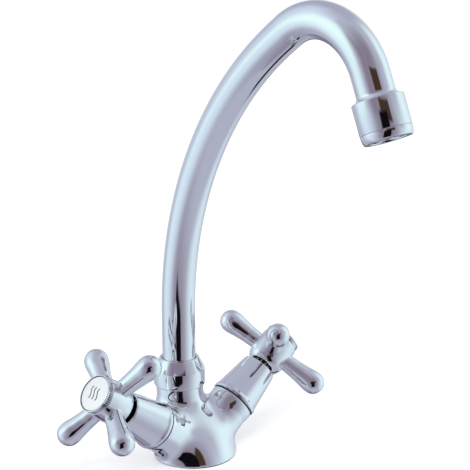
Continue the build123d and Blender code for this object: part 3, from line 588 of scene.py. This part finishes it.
SLOT_FINISHES = {
    "chrome": chrome,
    "brass": brass,
    "steel": steel,
    "rubber": rubber,
    "glide": acetal,
    "alumina": alumina,
    "grey_plastic": dark_plastic_and_rim_shade,
    "white_plastic": enamel,
    "mark_grey": inlay_and_edge_shadow,
}
for entry in frame["record"]["subparts"]:
    carried = frame["nodes"][entry["node"]]
    for holder in carried.material_slots:
        holder.material = SLOT_FINISHES[entry["material_slot"]]
print("finishes in all:", len(bpy.data.materials))

# %% [markdown]
# ## The body casting
# The real body is cast in one piece: a round base that leans back into the neck, and two
# ports that grow out of it with soft hollows between. A lathe can't make that. Round bars are
# joined and remeshed into an even net, and then every point of the net is drawn onto one exact
# shape. Its joints fill in with a curve that bends gradually, because a mirror shows a kink in
# the bend as plainly as an edge. Another program fitted the flare, the narrowing, the lean, the
# ports' swell and root and the joints to the photograph's colours and outline.

# %% The shape of the body, as distances
BASE_RADIUS = 25.0
BASE_BOTTOM = 0.5
BASE_EDGE = 1.3
BASE_FLARE = 3.04
FLARE_HEIGHT = 5.47
NARROWING = (6.8, 37.6, 1.5)
LEANING = (1.9, 45.6, 0.72)
NECK_SHOULDER = 40.8
NECK_TOP = 48.0
NECK_RADIUS = 14.2
NECK_THREAD = 13.1
PORT_RADIUS = 14.05
PORT_SWELL = 4.54
PORT_ROUND = 36.0
PORT_SWELL_REACH = 20
PORT_FADE_REACH = 8
PORT_ROOT = 15.1
PORT_FACE = 37.2
PORT_EDGE = 0.4
TIGHT_JOINT = 6.0
FLANK_JOINT = 19.2
UNDER_JOINT = 25.4
TOP_JOINT = 19.2
JOINT_BEND = 3.29
JOINT_ENDS = (27.1, 37.0)
JOINT_TOPS = (22.6, 40.5)


def ease(value, start, end, bias=1.0):
    """Goes from 0 to 1 between two values, without a kink in its bend."""
    share = np.clip((value - start) / (end - start), 0, 1) ** bias
    return share**3 * (share * (6 * share - 15) + 10)


def ease_down(value, full, none):
    """1 up to one value, 0 from another, and smooth between."""
    share = np.clip((value - none) / (full - none), 0, 1)
    return share * share * (3 - 2 * share)


def trunk_line(height):
    """Radius of the trunk at a height, and how far its middle has moved back."""
    narrow = ease(height, *NARROWING)
    flare = BASE_FLARE * (1 - np.exp(-np.maximum(height - BASE_BOTTOM, 0) / FLARE_HEIGHT))
    radius = BASE_RADIUS - flare * (1 - narrow) + (NECK_RADIUS - BASE_RADIUS) * narrow
    return radius, RISER_BACK * ease(height, *LEANING)


def trunk(points, step=0.4):
    """Base, shoulder and neck, near enough a distance in millimetres."""
    radius, middle = trunk_line(points[:, 2])
    radius_above, middle_above = trunk_line(points[:, 2] + step)
    back = points[:, 1] - middle
    radial = np.hypot(points[:, 0], back)
    lean = (middle_above - middle) * back / np.maximum(radial, 1e-6)
    return (radial - radius) / np.hypot(1, (radius_above - radius + lean) / step)


def along_port(points, side):
    """Distance along a port's axis, and height above the axis in the port's own frame."""
    reach = points - np.array((0, 0, MEET_HEIGHT))
    return reach @ np.array(outward(side)), reach @ np.array(upward(side))


def port(points, side):
    """One valve port: a round bar that swells toward its face and fades out in the base."""
    along, lift = along_port(points, side)
    inward = np.maximum(PORT_ROUND - along, 0) / PORT_SWELL_REACH
    radius = PORT_RADIUS - PORT_SWELL * 2 * inward**2 / (1 + inward**2)
    short = np.maximum(PORT_ROOT - along, 0)
    fade = short**2 / (short + PORT_FADE_REACH)
    return np.sqrt(points[:, 1] ** 2 + lift**2 + fade**2) - radius


def joint_width(points, side):
    """How far a joint reaches: tight at the port's face, wide round its foot."""
    along, lift = along_port(points, side)
    around = np.maximum(points[:, 1] ** 2 + lift**2, 1e-6)
    upper = np.maximum(lift, 0) ** 2
    lower = np.minimum(lift, 0) ** 2
    wide = FLANK_JOINT * points[:, 1] ** 2 + UNDER_JOINT * lower + TOP_JOINT * upper
    room = ease_down(along, *JOINT_ENDS) * ease_down(points[:, 2], *JOINT_TOPS)
    return TIGHT_JOINT + (wide / around - TIGHT_JOINT) * room


def soft_joint(first, second, width):
    """The nearer of two distances, with the valley between them filled without a kink."""
    near = np.maximum(width - np.abs(first - second), 0) / width
    return np.minimum(first, second) - near**JOINT_BEND * width / (2 * JOINT_BEND)


def casting(points):
    """The whole body: trunk, ports, joints and the rounded lower edge."""
    stem = trunk(points)
    hot, cold = ((port(points, side), joint_width(points, side)) for side in (-1, 1))
    gap = soft_joint(soft_joint(stem, *hot), *cold) / 2
    gap = gap + soft_joint(soft_joint(stem, *cold), *hot) / 2
    below = BASE_BOTTOM - points[:, 2]
    past_side = np.maximum(gap + BASE_EDGE, 0)
    past_bottom = np.maximum(below + BASE_EDGE, 0)
    corner = np.hypot(past_side, past_bottom) - BASE_EDGE
    return np.where((past_side > 0) & (past_bottom > 0), corner, np.maximum(gap, below))


def slope_of(field, points, step=0.02):
    """Slope of a field at each point."""
    columns = []
    for axis in range(3):
        nudge = np.zeros(3)
        nudge[axis] = step
        columns.append((field(points + nudge) - field(points - nudge)) / (2 * step))
    return np.stack(columns, 1)


print("joints reach, mm:", FLANK_JOINT, UNDER_JOINT, TOP_JOINT)

# %% [markdown]
# The blank is made of three bars: the trunk is extruded ring by ring along its lean, and each
# port is a cylinder. A boolean joins them and a voxel remesh gives the even net.

# %% Blank and net
NET_SIZE = 0.62
TRUNK_RINGS = 24


def body_blank():
    """Trunk and two ports, joined into one closed net."""
    levels = np.linspace(BASE_BOTTOM - 2, NECK_SHOULDER + 2, TRUNK_RINGS)
    radii, middles = trunk_line(levels)
    bpy.ops.object.select_all(action="DESELECT")
    bpy.ops.mesh.primitive_circle_add(
        vertices=96,
        radius=radii[0] * MM,
        fill_type="NGON",
        location=(0, middles[0] * MM, levels[0] * MM),
    )
    blank = bpy.context.object
    blank.name = "body_casting"
    bpy.ops.object.transform_apply(location=True)
    bpy.ops.object.mode_set(mode="EDIT")
    bpy.ops.mesh.select_all(action="SELECT")
    for step in range(1, TRUNK_RINGS):
        back = (middles[step] - middles[step - 1]) * MM
        rise = (levels[step] - levels[step - 1]) * MM
        bpy.ops.mesh.extrude_region_move(TRANSFORM_OT_translate={"value": (0, back, rise)})
        size = radii[step] / radii[step - 1]
        centre = (0, middles[step] * MM, levels[step] * MM)
        bpy.ops.transform.resize(value=(size, size, 1), center_override=centre)
    bpy.ops.object.mode_set(mode="OBJECT")
    tidy_mesh(blank)
    for side in SIDES.values():
        depth = PORT_FACE + 2 - PORT_ROOT
        bpy.ops.object.select_all(action="DESELECT")
        bpy.ops.mesh.primitive_cylinder_add(
            vertices=96, radius=PORT_RADIUS * MM, depth=depth * MM
        )
        bar = bpy.context.object
        lay_in_place(bar, handle_frame(side, PORT_ROOT + depth / 2))
        join_or_cut(blank, bar, "UNION")
    return blank


def knit(piece):
    """Gives a piece a new, even net of squares."""
    take(piece)
    piece.data.remesh_voxel_size = NET_SIZE * MM
    bpy.ops.object.voxel_remesh()


casting_piece = body_blank()
knit(casting_piece)
print("net points:", len(casting_piece.data.vertices))

# %% [markdown]
# Newton's method draws the net onto the shape: a point moves down its slope by its distance.
# That crowds the net in the hollows, so it is knitted again, relaxed and drawn on once more.
# The ports' ends and the neck's end are left long, and are cut off flat afterwards.


# %% Drawing the net onto the shape
def settle(piece, rounds):
    """Moves every point onto the casting's exact surface."""
    mesh = piece.data
    flat = np.empty(len(mesh.vertices) * 3)
    mesh.vertices.foreach_get("co", flat)
    points = flat.reshape(-1, 3) / MM
    keep = points[:, 2] < NECK_SHOULDER + 1
    for side in SIDES.values():
        keep &= along_port(points, side)[0] < PORT_FACE + 1
    moving = points[keep]
    for _ in range(rounds):
        gap = casting(moving)
        slope = slope_of(casting, moving)
        steep = np.maximum((slope**2).sum(1), 0.05)
        moving = moving - slope * (gap / steep)[:, None]
    points[keep] = moving
    mesh.vertices.foreach_set("co", (points * MM).ravel())
    mesh.update()
    return float(np.abs(casting(moving)).max())


def relax(piece, strength, repeats):
    """Evens out the net."""
    smoothing = piece.modifiers.new("relax", "SMOOTH")
    smoothing.factor = strength
    smoothing.iterations = repeats
    apply_all_modifiers(piece)


relax(casting_piece, 0.5, 10)
settle(casting_piece, 5)
knit(casting_piece)
settle(casting_piece, 3)
relax(casting_piece, 0.5, 3)
left_over = settle(casting_piece, 4)
print("largest distance left, mm:", round(left_over, 4))

# %% [markdown]
# Bisect cuts the long ends flat and fills them. On a port the flat is then extruded out to
# the face, and the last steps shrink it round a quarter circle, which breaks the edge. Plain
# cutters open the underside and the bores, as the drills do on the real casting.


# %% Cutting the ends and the bores
def cut_flat(piece, point_mm, normal):
    """Cuts a closed piece by a plane and closes the cut."""
    take(piece)
    bpy.ops.object.mode_set(mode="EDIT")
    bpy.ops.mesh.select_all(action="SELECT")
    bpy.ops.mesh.bisect(
        plane_co=Vector(point_mm) * MM,
        plane_no=normal,
        use_fill=True,
        clear_outer=True,
        threshold=2e-6,
    )
    bpy.ops.object.mode_set(mode="OBJECT")


def face_port(piece, side):
    """Cuts a port short and extrudes it to its face, with a broken edge."""
    foot = Vector((0, 0, MEET_HEIGHT))
    reach = PORT_FACE - 3 * PORT_EDGE
    cut_flat(piece, foot + outward(side) * reach, outward(side))
    select_points(piece, lambda point: abs((point - foot).dot(outward(side)) - reach) < 0.005)
    bpy.ops.object.mode_set(mode="EDIT")
    bpy.ops.mesh.select_mode(type="FACE")
    steps = [(PORT_FACE - PORT_EDGE, PORT_RADIUS)]
    for angle in (30, 60, 90):
        shrink = PORT_EDGE * (1 - cos(radians(angle)))
        climb = PORT_FACE - PORT_EDGE + PORT_EDGE * sin(radians(angle))
        steps.append((climb, PORT_RADIUS - shrink))
    radius = PORT_RADIUS
    for next_reach, next_radius in steps:
        shift = outward(side) * (next_reach - reach) * MM
        bpy.ops.mesh.extrude_region_move(TRANSFORM_OT_translate={"value": tuple(shift)})
        centre = (foot + outward(side) * next_reach) * MM
        bpy.ops.transform.resize(value=(next_radius / radius,) * 3, center_override=tuple(centre))
        reach, radius = next_reach, next_radius
    bpy.ops.mesh.select_mode(type="VERT")
    bpy.ops.object.mode_set(mode="OBJECT")


for side in SIDES.values():
    face_port(casting_piece, side)
cut_flat(casting_piece, (0, 0, NECK_SHOULDER), (0, 0, 1))
select_points(casting_piece, lambda point: abs(point.z - NECK_SHOULDER) < 0.005)
bpy.ops.object.mode_set(mode="EDIT")
shoulder_middle = (0, RISER_BACK * MM, NECK_SHOULDER * MM)
for size, rise in ((NECK_THREAD / NECK_RADIUS, 0), (1, NECK_TOP - NECK_SHOULDER)):
    bpy.ops.mesh.extrude_region_move(TRANSFORM_OT_translate={"value": (0, 0, rise * MM)})
    bpy.ops.transform.resize(value=(size, size, 1), center_override=shoulder_middle)
bpy.ops.object.mode_set(mode="OBJECT")


def drill_bit(radius, low, high, placing):
    """A round bar between two heights of a frame."""
    bit = turned("drill_bit", [(radius, low), (radius, high)], steps=96, capped=True)
    lay_in_place(bit, placing)
    return bit


STUD_FORWARD = 11
INLET_ASIDE = 8

cut_flat(casting_piece, (0, 0, BASE_BOTTOM + 0.03), (0, 0, -1))
bits = [
    drill_bit(16.5, -2, 4.0, Matrix.Identity(4)),
    drill_bit(3.4, -2, 14.0, Matrix.Translation((0, -STUD_FORWARD * MM, 0))),
    drill_bit(11.4, 40.0, 50, RISER_FRAME),
    drill_bit(8.5, 24.0, 41, RISER_FRAME),
]
for side in SIDES.values():
    bits.append(drill_bit(4.46, -2, 11.0, Matrix.Translation((side * INLET_ASIDE * MM, 0, 0))))
    bits.append(drill_bit(11.0, 27.2, 45, handle_frame(side, 0)))
    bits.append(drill_bit(9.2, 16.2, 28, handle_frame(side, 0)))
all_bits = drill_bit(24.0, -2, 1.5, Matrix.Identity(4))
for bit in bits:
    join_or_cut(all_bits, bit, "UNION")
join_or_cut(casting_piece, all_bits, "DIFFERENCE")
casting_piece.data.materials.clear()
casting_piece.data.materials.append(chrome)
polish(casting_piece, crease=35)
fit_out(casting_piece, "body", "body")

# %% [markdown]
# ## Nut, shrouds and rubber rings
# These are plain turned work. What makes them look real is their edges: a plated edge is never
# sharp, and the small round on it catches a line of light.

# %% Collar nut under the spout
nut_outline = rounded(
    [
        (13.15, 41.0),
        (15.4, 41.0),
        (15.75, 46.0),
        (15.4, 51.1),
        (11.8, 58.3),
        (10.3, 58.3),
        (10.3, 49.6),
        (13.15, 49.6),
    ],
    {1: 1.1, 2: 60.0, 3: 0.45, 4: 0.4, 5: 0.3},
)
nut = turned("collar_nut", [*nut_outline, nut_outline[0]])
lay_in_place(nut, RISER_FRAME)
nut.data.materials.append(chrome)
polish(nut)
fit_out(nut, "body", "spout_nut")

# %% Shrouds over the valves
SHROUD_FOOT = 38.0
SHROUD_TOP = 65.4
BEAD_KNOTS = [
    (14.2, SHROUD_FOOT),
    (14.55, 38.35),
    (14.65, 39.2),
    (14.5, 40.1),
    (14.1, 40.9),
    (13.8, 41.8),
]
LIP_KNOTS = [
    (10.95, 64.2),
    (10.62, SHROUD_TOP),
    (9.75, SHROUD_TOP),
    (9.55, 64.75),
    (9.3, 64.4),
    (9.3, 61.0),
]
bead = smooth_line(BEAD_KNOTS, 4)
lip = rounded(LIP_KNOTS, {1: 0.45, 2: 0.25, 4: 0.2}, 4)
shroud_outline = [*bead, *lip, (9.9, 60.0), (12.4, 42.0), (12.4, SHROUD_FOOT), bead[0]]
shroud_blank = turned("shroud_blank", shroud_outline)
shroud_blank.data.materials.append(chrome)
polish(shroud_blank)


def copy_of(piece, name):
    """A copy with its own mesh."""
    made = piece.copy()
    made.data = piece.data.copy()
    made.name = name
    bpy.context.collection.objects.link(made)
    return made


for name, side in SIDES.items():
    shroud = copy_of(shroud_blank, f"{name}_bell")
    lay_in_place(shroud, handle_frame(side, 0))
    fit_out(shroud, "body", f"{name}_shroud")
bpy.data.objects.remove(shroud_blank)

# %% Rubber rings and gasket
RING_CORNERS = [(12.6, 37.0), (14.1, 37.0), (14.1, 38.1), (12.6, 38.1)]
ring_outline = rounded(RING_CORNERS, {1: 0.2, 2: 0.2})
ring_blank = turned("ring_blank", [*ring_outline, ring_outline[0]])
ring_blank.data.materials.append(rubber)
polish(ring_blank)
for name, side in SIDES.items():
    ring = copy_of(ring_blank, f"{name}_rubber_ring")
    lay_in_place(ring, handle_frame(side, 0))
    fit_out(ring, "body", f"{name}_shroud_ring")
bpy.data.objects.remove(ring_blank)

gasket_outline = rounded([(17.2, 0), (23.8, 0), (23.8, 1.5), (17.2, 1.5)], {1: 0.25, 2: 0.25})
gasket = turned("deck_gasket", [*gasket_outline, gasket_outline[0]])
gasket.data.materials.append(rubber)
polish(gasket)
fit_out(gasket, "body", "base_gasket")

# %% [markdown]
# ## The gooseneck
# The real spout is one drawn tube, bent round two formers. Here one ring of points takes the
# same journey: it is extruded up the riser, spun about the first former, run straight and
# spun about the second. Spin keeps the ring square to its path, so the tube stays round. At
# the outlet the ring shrinks by the wall, travels the whole way back inside, and meets itself.

# %% Spout tube
TUBE_RADIUS = 10.0
TUBE_WALL = 1.5
TUBE_FOOT = 48.1
RISER_TOP = 85.2
LEAN_FORMER = 212.8
LEAN_ANGLE = 54.4
LEAN_RUN = 7.8
CROWN_FORMER = 39.3
CROWN_ANGLE = 102.6
OUTLET_RUN = 12.7
TUBE_IN_CUP = 6.0
BEND_STEP = 0.9


def run_ring(place, heading, length):
    """Extrudes the selected ring straight on."""
    bpy.ops.mesh.extrude_edges_move(
        TRANSFORM_OT_translate={"value": tuple(heading * length * MM)}
    )
    return place + heading * length, heading


def bend_ring(place, heading, former, angle):
    """Spins the selected ring round a former; a negative angle takes it back."""
    centre = place + Vector((0, -heading.z, heading.y)) * former
    steps = round(abs(angle) / BEND_STEP)
    bpy.ops.mesh.spin(steps=steps, angle=radians(angle), center=centre * MM, axis=(-1, 0, 0))
    turn = Matrix.Rotation(radians(angle), 3, "X")
    return centre + turn @ (place - centre), turn @ heading


def resize_ring(place, radius_from, radius_to):
    """Extrudes the selected ring to another radius in its own plane."""
    bpy.ops.mesh.extrude_edges_move()
    scale = radius_to / radius_from
    bpy.ops.transform.resize(value=(scale, scale, scale), center_override=tuple(place * MM))


bpy.ops.object.select_all(action="DESELECT")
place = Vector((0, RISER_BACK, TUBE_FOOT))
heading = Vector((0, 0, 1))
bpy.ops.mesh.primitive_circle_add(vertices=96, radius=TUBE_RADIUS * MM, location=place * MM)
gooseneck = bpy.context.object
gooseneck.name = "gooseneck"
bpy.ops.object.transform_apply(location=True)
bpy.ops.object.mode_set(mode="EDIT")
bpy.ops.mesh.select_all(action="SELECT")
place, heading = run_ring(place, heading, RISER_TOP - TUBE_FOOT)
place, heading = bend_ring(place, heading, LEAN_FORMER, LEAN_ANGLE)
place, heading = run_ring(place, heading, LEAN_RUN)
place, heading = bend_ring(place, heading, CROWN_FORMER, CROWN_ANGLE)
shoulder = place + heading * OUTLET_RUN
outlet_heading = heading.copy()
place, heading = run_ring(place, heading, OUTLET_RUN + TUBE_IN_CUP)
resize_ring(place, TUBE_RADIUS, TUBE_RADIUS - TUBE_WALL)
place, heading = run_ring(place, heading, -OUTLET_RUN - TUBE_IN_CUP)
place, heading = bend_ring(place, heading, CROWN_FORMER, -CROWN_ANGLE)
place, heading = run_ring(place, heading, -LEAN_RUN)
place, heading = bend_ring(place, heading, LEAN_FORMER, -LEAN_ANGLE)
place, heading = run_ring(place, heading, TUBE_FOOT - RISER_TOP)
resize_ring(place, TUBE_RADIUS - TUBE_WALL, TUBE_RADIUS)
bpy.ops.object.mode_set(mode="OBJECT")
tidy_mesh(gooseneck, seam=POLE * 5 * MM)
gooseneck.data.materials.append(chrome)
polish(gooseneck)
fit_out(gooseneck, "spout", "spout_tube")
print("cup's shoulder, mm:", tuple(round(v, 2) for v in shoulder))

# %% [markdown]
# ## The outlet
# A cup is brazed on the end of the tube, and the braze leaves a small hollow. The aerator
# screws into the cup; its rim tapers in, and its dark mesh lies a little way inside. The flat
# end of the rim faces down into shade, so it gets painted shade in the aerator's dark plastic.

# %% Outlet cup and aerator
OUTLET_FRAME = frame_at(shoulder, outlet_heading, (1, 0, 0))
hollow = [
    (10.05 + 2.9 * (1 - cos(radians(angle))), -2.9 + 2.9 * sin(radians(angle)))
    for angle in range(0, 91, 15)
]
cup_outline = [
    *hollow,
    *rounded([(13.0, 0.0), (13.4, 0.35), (13.4, 16.2)], {1: 0.3}, 4)[1:-1],
    *rounded([(13.4, 8.0), (13.4, 16.15), (12.0, 16.15)], {1: 0.2}, 3)[1:],
    (12.0, 6.0),
    (10.02, 6.0),
    (10.02, -2.9),
    hollow[0],
]
cup = turned("outlet_cup_shell", cup_outline)
lay_in_place(cup, OUTLET_FRAME)
cup.data.materials.append(chrome)
polish(cup)
fit_out(cup, "spout", "outlet_cup")

rim_outline = [
    (11.9, 8.0),
    (11.9, 16.2),
    *rounded([(13.0, 16.2), (13.32, 16.25), (13.28, 17.6)], {1: 0.12}, 3),
    *smooth_line([(13.24, 18.2), (13.0, 19.4), (12.65, 20.4), (12.35, 21.0)], 4),
    *rounded([(12.3, 21.08), (9.5, 21.08), (9.4, 20.6)], {1: 0.25}, 4)[1:],
    (9.4, 19.1),
    (10.3, 19.1),
    (10.3, 8.0),
    (11.9, 8.0),
]
# From this height on, the rim's flat end gets painted shade in the dark plastic finish.
RIM_SHADE_FROM = 20.95
rim = turned("aerator_rim", rim_outline)
rim.data.materials.append(chrome)
# The flat end gets the painted shade.
darken(rim, dark_plastic_and_rim_shade, lambda point: point.z > RIM_SHADE_FROM)
lay_in_place(rim, OUTLET_FRAME)
polish(rim)
fit_out(rim, "spout", "aerator_housing")

# %% [markdown]
# ## The cross handles
# A cross is cast in one piece: a barrel hub with a skirt behind, and four arms that swell to a
# ball. The hub and the arms are turned, and the boolean joins them with the crisp line that
# the real cross shows. The two handles stand at different angles, as they were left.

# %% Hub and arms
HANDLE_REACH = 78.5
ARM_PHASE = {"hot": -34.4, "cold": 41.1}
ARM_KNOTS = [
    (5.45, 6.0),
    (5.45, 12.0),
    (5.6, 15.0),
    (5.72, 18.0),
    (5.9, 20.0),
    (6.12, 22.0),
    (6.35, 24.0),
    (6.62, 26.0),
    (6.95, 28.0),
    (7.18, 30.0),
    (7.2, 32.0),
    (6.95, 34.0),
    (6.06, 36.0),
    (4.28, 37.9),
    (2.07, 39.0),
    (0.9, 39.25),
    (0.0, 39.3),
]
HUB_KNOTS = [
    (7.3, -12.6),
    (7.55, -12.15),
    (8.3, -11.5),
    (10.3, -9.8),
    (11.6, -7.5),
    (12.1, -4.0),
    (12.2, 0.0),
    (12.1, 3.0),
    (11.9, 5.2),
]
arm_line = smooth_line(ARM_KNOTS, 4)
both_arms = [(radius, -reach) for radius, reach in reversed(arm_line)] + arm_line
hub_outline = [
    *rounded([(5.6, -17.0), (7.2, -17.0), (7.3, -12.6)], {1: 0.3}, 3)[:-1],
    *smooth_line(HUB_KNOTS, 6),
    *rounded([(11.9, 5.2), (11.6, 8.4), (11.35, 9.0), (8.0, 9.0)], {1: 0.8, 2: 0.3}, 5)[1:],
    (8.0, -1.5),
    (5.6, -6.1),
    (5.6, -17.0),
]
cross_blank = turned("cross_blank", hub_outline, steps=192)
for quarter in (0, 90):
    bar = turned("arm_bar", both_arms, steps=64)
    lying = Matrix.Rotation(radians(90), 4, "X")
    lay_in_place(bar, Matrix.Rotation(radians(quarter), 4, "Z") @ lying)
    join_or_cut(cross_blank, bar, "UNION")
cross_blank.data.materials.clear()
cross_blank.data.materials.append(chrome)
polish(cross_blank, crease=24)

for name, side in SIDES.items():
    handle = copy_of(cross_blank, f"{name}_cross_handle")
    turn = Matrix.Rotation(radians(ARM_PHASE[name]), 4, "Z")
    lay_in_place(handle, handle_frame(side, HANDLE_REACH) @ turn)
    fit_out(handle, f"{name}_cross", f"{name}_handle")
bpy.data.objects.remove(cross_blank)

# %% [markdown]
# ## The index caps
# Each cap is a knurled ring round a white disc. The knurl is cut by pulling three of every five
# points inward, which leaves straight teeth between the smooth front rim and the hub. Little
# light reaches the floor of so fine a groove, so the floor gets painted shade: a dark plating.

# %% Knurled caps
CAP_BACK = 9.0
CAP_FRONT = 12.4
TEETH = 60
TOOTH_STEPS = 5
GROOVE_STEPS = 3
GROOVE_SCALE = 0.945
BAND_LOW = CAP_BACK + 0.4
BAND_HIGH = CAP_FRONT - 0.95
cap_outline = [
    (7.95, 4.0),
    (7.95, CAP_BACK + 0.02),
    (10.9, CAP_BACK + 0.02),
    (11.25, CAP_BACK + 0.3),
    (11.25, CAP_BACK + 0.45),
    (11.25, CAP_FRONT - 1.0),
    (11.25, CAP_FRONT - 0.85),
    *rounded([(11.3, CAP_FRONT - 0.7), (11.3, CAP_FRONT), (10.8, CAP_FRONT)], {1: 0.35}, 4),
    *rounded([(10.9, CAP_FRONT), (10.68, CAP_FRONT), (10.68, CAP_FRONT - 0.4)], {1: 0.1}, 2)[1:],
    (10.68, CAP_FRONT - 1.5),
    (6.5, CAP_FRONT - 1.5),
    (6.5, 4.0),
    (7.95, 4.0),
]
cap_blank = turned("cap_blank", cap_outline, steps=TEETH * TOOTH_STEPS)


def on_band(point):
    """True between the two ends of the knurled band."""
    return BAND_LOW < point.z < BAND_HIGH


def in_groove(point):
    """True for three of every five points round the band."""
    around = round(atan2(point.y, point.x) / (2 * pi) * TEETH * TOOTH_STEPS)
    outside = on_band(point) and hypot(point.x, point.y) > 11.2
    return outside and around % TOOTH_STEPS < GROOVE_STEPS


def on_floor(point):
    """True for the points that were pulled in."""
    return on_band(point) and 10.4 < hypot(point.x, point.y) < 10.67


select_points(cap_blank, in_groove)
bpy.ops.object.mode_set(mode="EDIT")
bpy.ops.transform.resize(value=(GROOVE_SCALE, GROOVE_SCALE, 1), center_override=(0, 0, 0))
bpy.ops.object.mode_set(mode="OBJECT")
cap_blank.data.materials.append(chrome)
# The groove floors get the painted shade.
darken(cap_blank, groove_shade, on_floor)
polish(cap_blank)
for name, side in SIDES.items():
    cap = copy_of(cap_blank, f"{name}_knurled_cap")
    lay_in_place(cap, handle_frame(side, HANDLE_REACH))
    fit_out(cap, f"{name}_cross", f"{name}_index_cap")
bpy.data.objects.remove(cap_blank)

# %% [markdown]
# The disc is fired enamel, a little domed. A thin dark ring round its edge is painted shadow of
# the gap where it meets the ring. Its sign lies in it as a dark inlay, which is carried over from
# the frame: three waves of heat for hot and a flake for cold.

# %% White discs
DISC_RADIUS = 10.6
DOME_RISE = 0.76
DOME_RIM = CAP_FRONT - 0.56
DOME_STEPS = 12
# Width of the painted shadow round the disc's edge.
EDGE_SHADOW_WIDTH = 0.42
white_radius = DISC_RADIUS - EDGE_SHADOW_WIDTH
dome_radius = (DISC_RADIUS**2 + DOME_RISE**2) / (2 * DOME_RISE)
dome = []
white_rings = [white_radius * (1 - step / DOME_STEPS) for step in range(DOME_STEPS + 1)]
for radius in [DISC_RADIUS, *white_rings]:
    rise = sqrt(dome_radius**2 - radius**2) - (dome_radius - DOME_RISE)
    dome.append((radius, DOME_RIM + rise))
disc_outline = [(0, CAP_FRONT - 1.5), (DISC_RADIUS, CAP_FRONT - 1.5), *dome]
disc_blank = turned("disc_blank", disc_outline, steps=96)
disc_blank.data.materials.append(enamel)
# The edge ring of the disc gets painted shadow of the gap round it.
darken(disc_blank, inlay_and_edge_shadow, lambda point: hypot(point.x, point.y) > white_radius - 0.01)
polish(disc_blank, crease=40)
for name, side in SIDES.items():
    disc = copy_of(disc_blank, f"{name}_enamel_disc")
    lay_in_place(disc, handle_frame(side, HANDLE_REACH))
    fit_out(disc, f"{name}_cross", f"{name}_index_disc")
bpy.data.objects.remove(disc_blank)
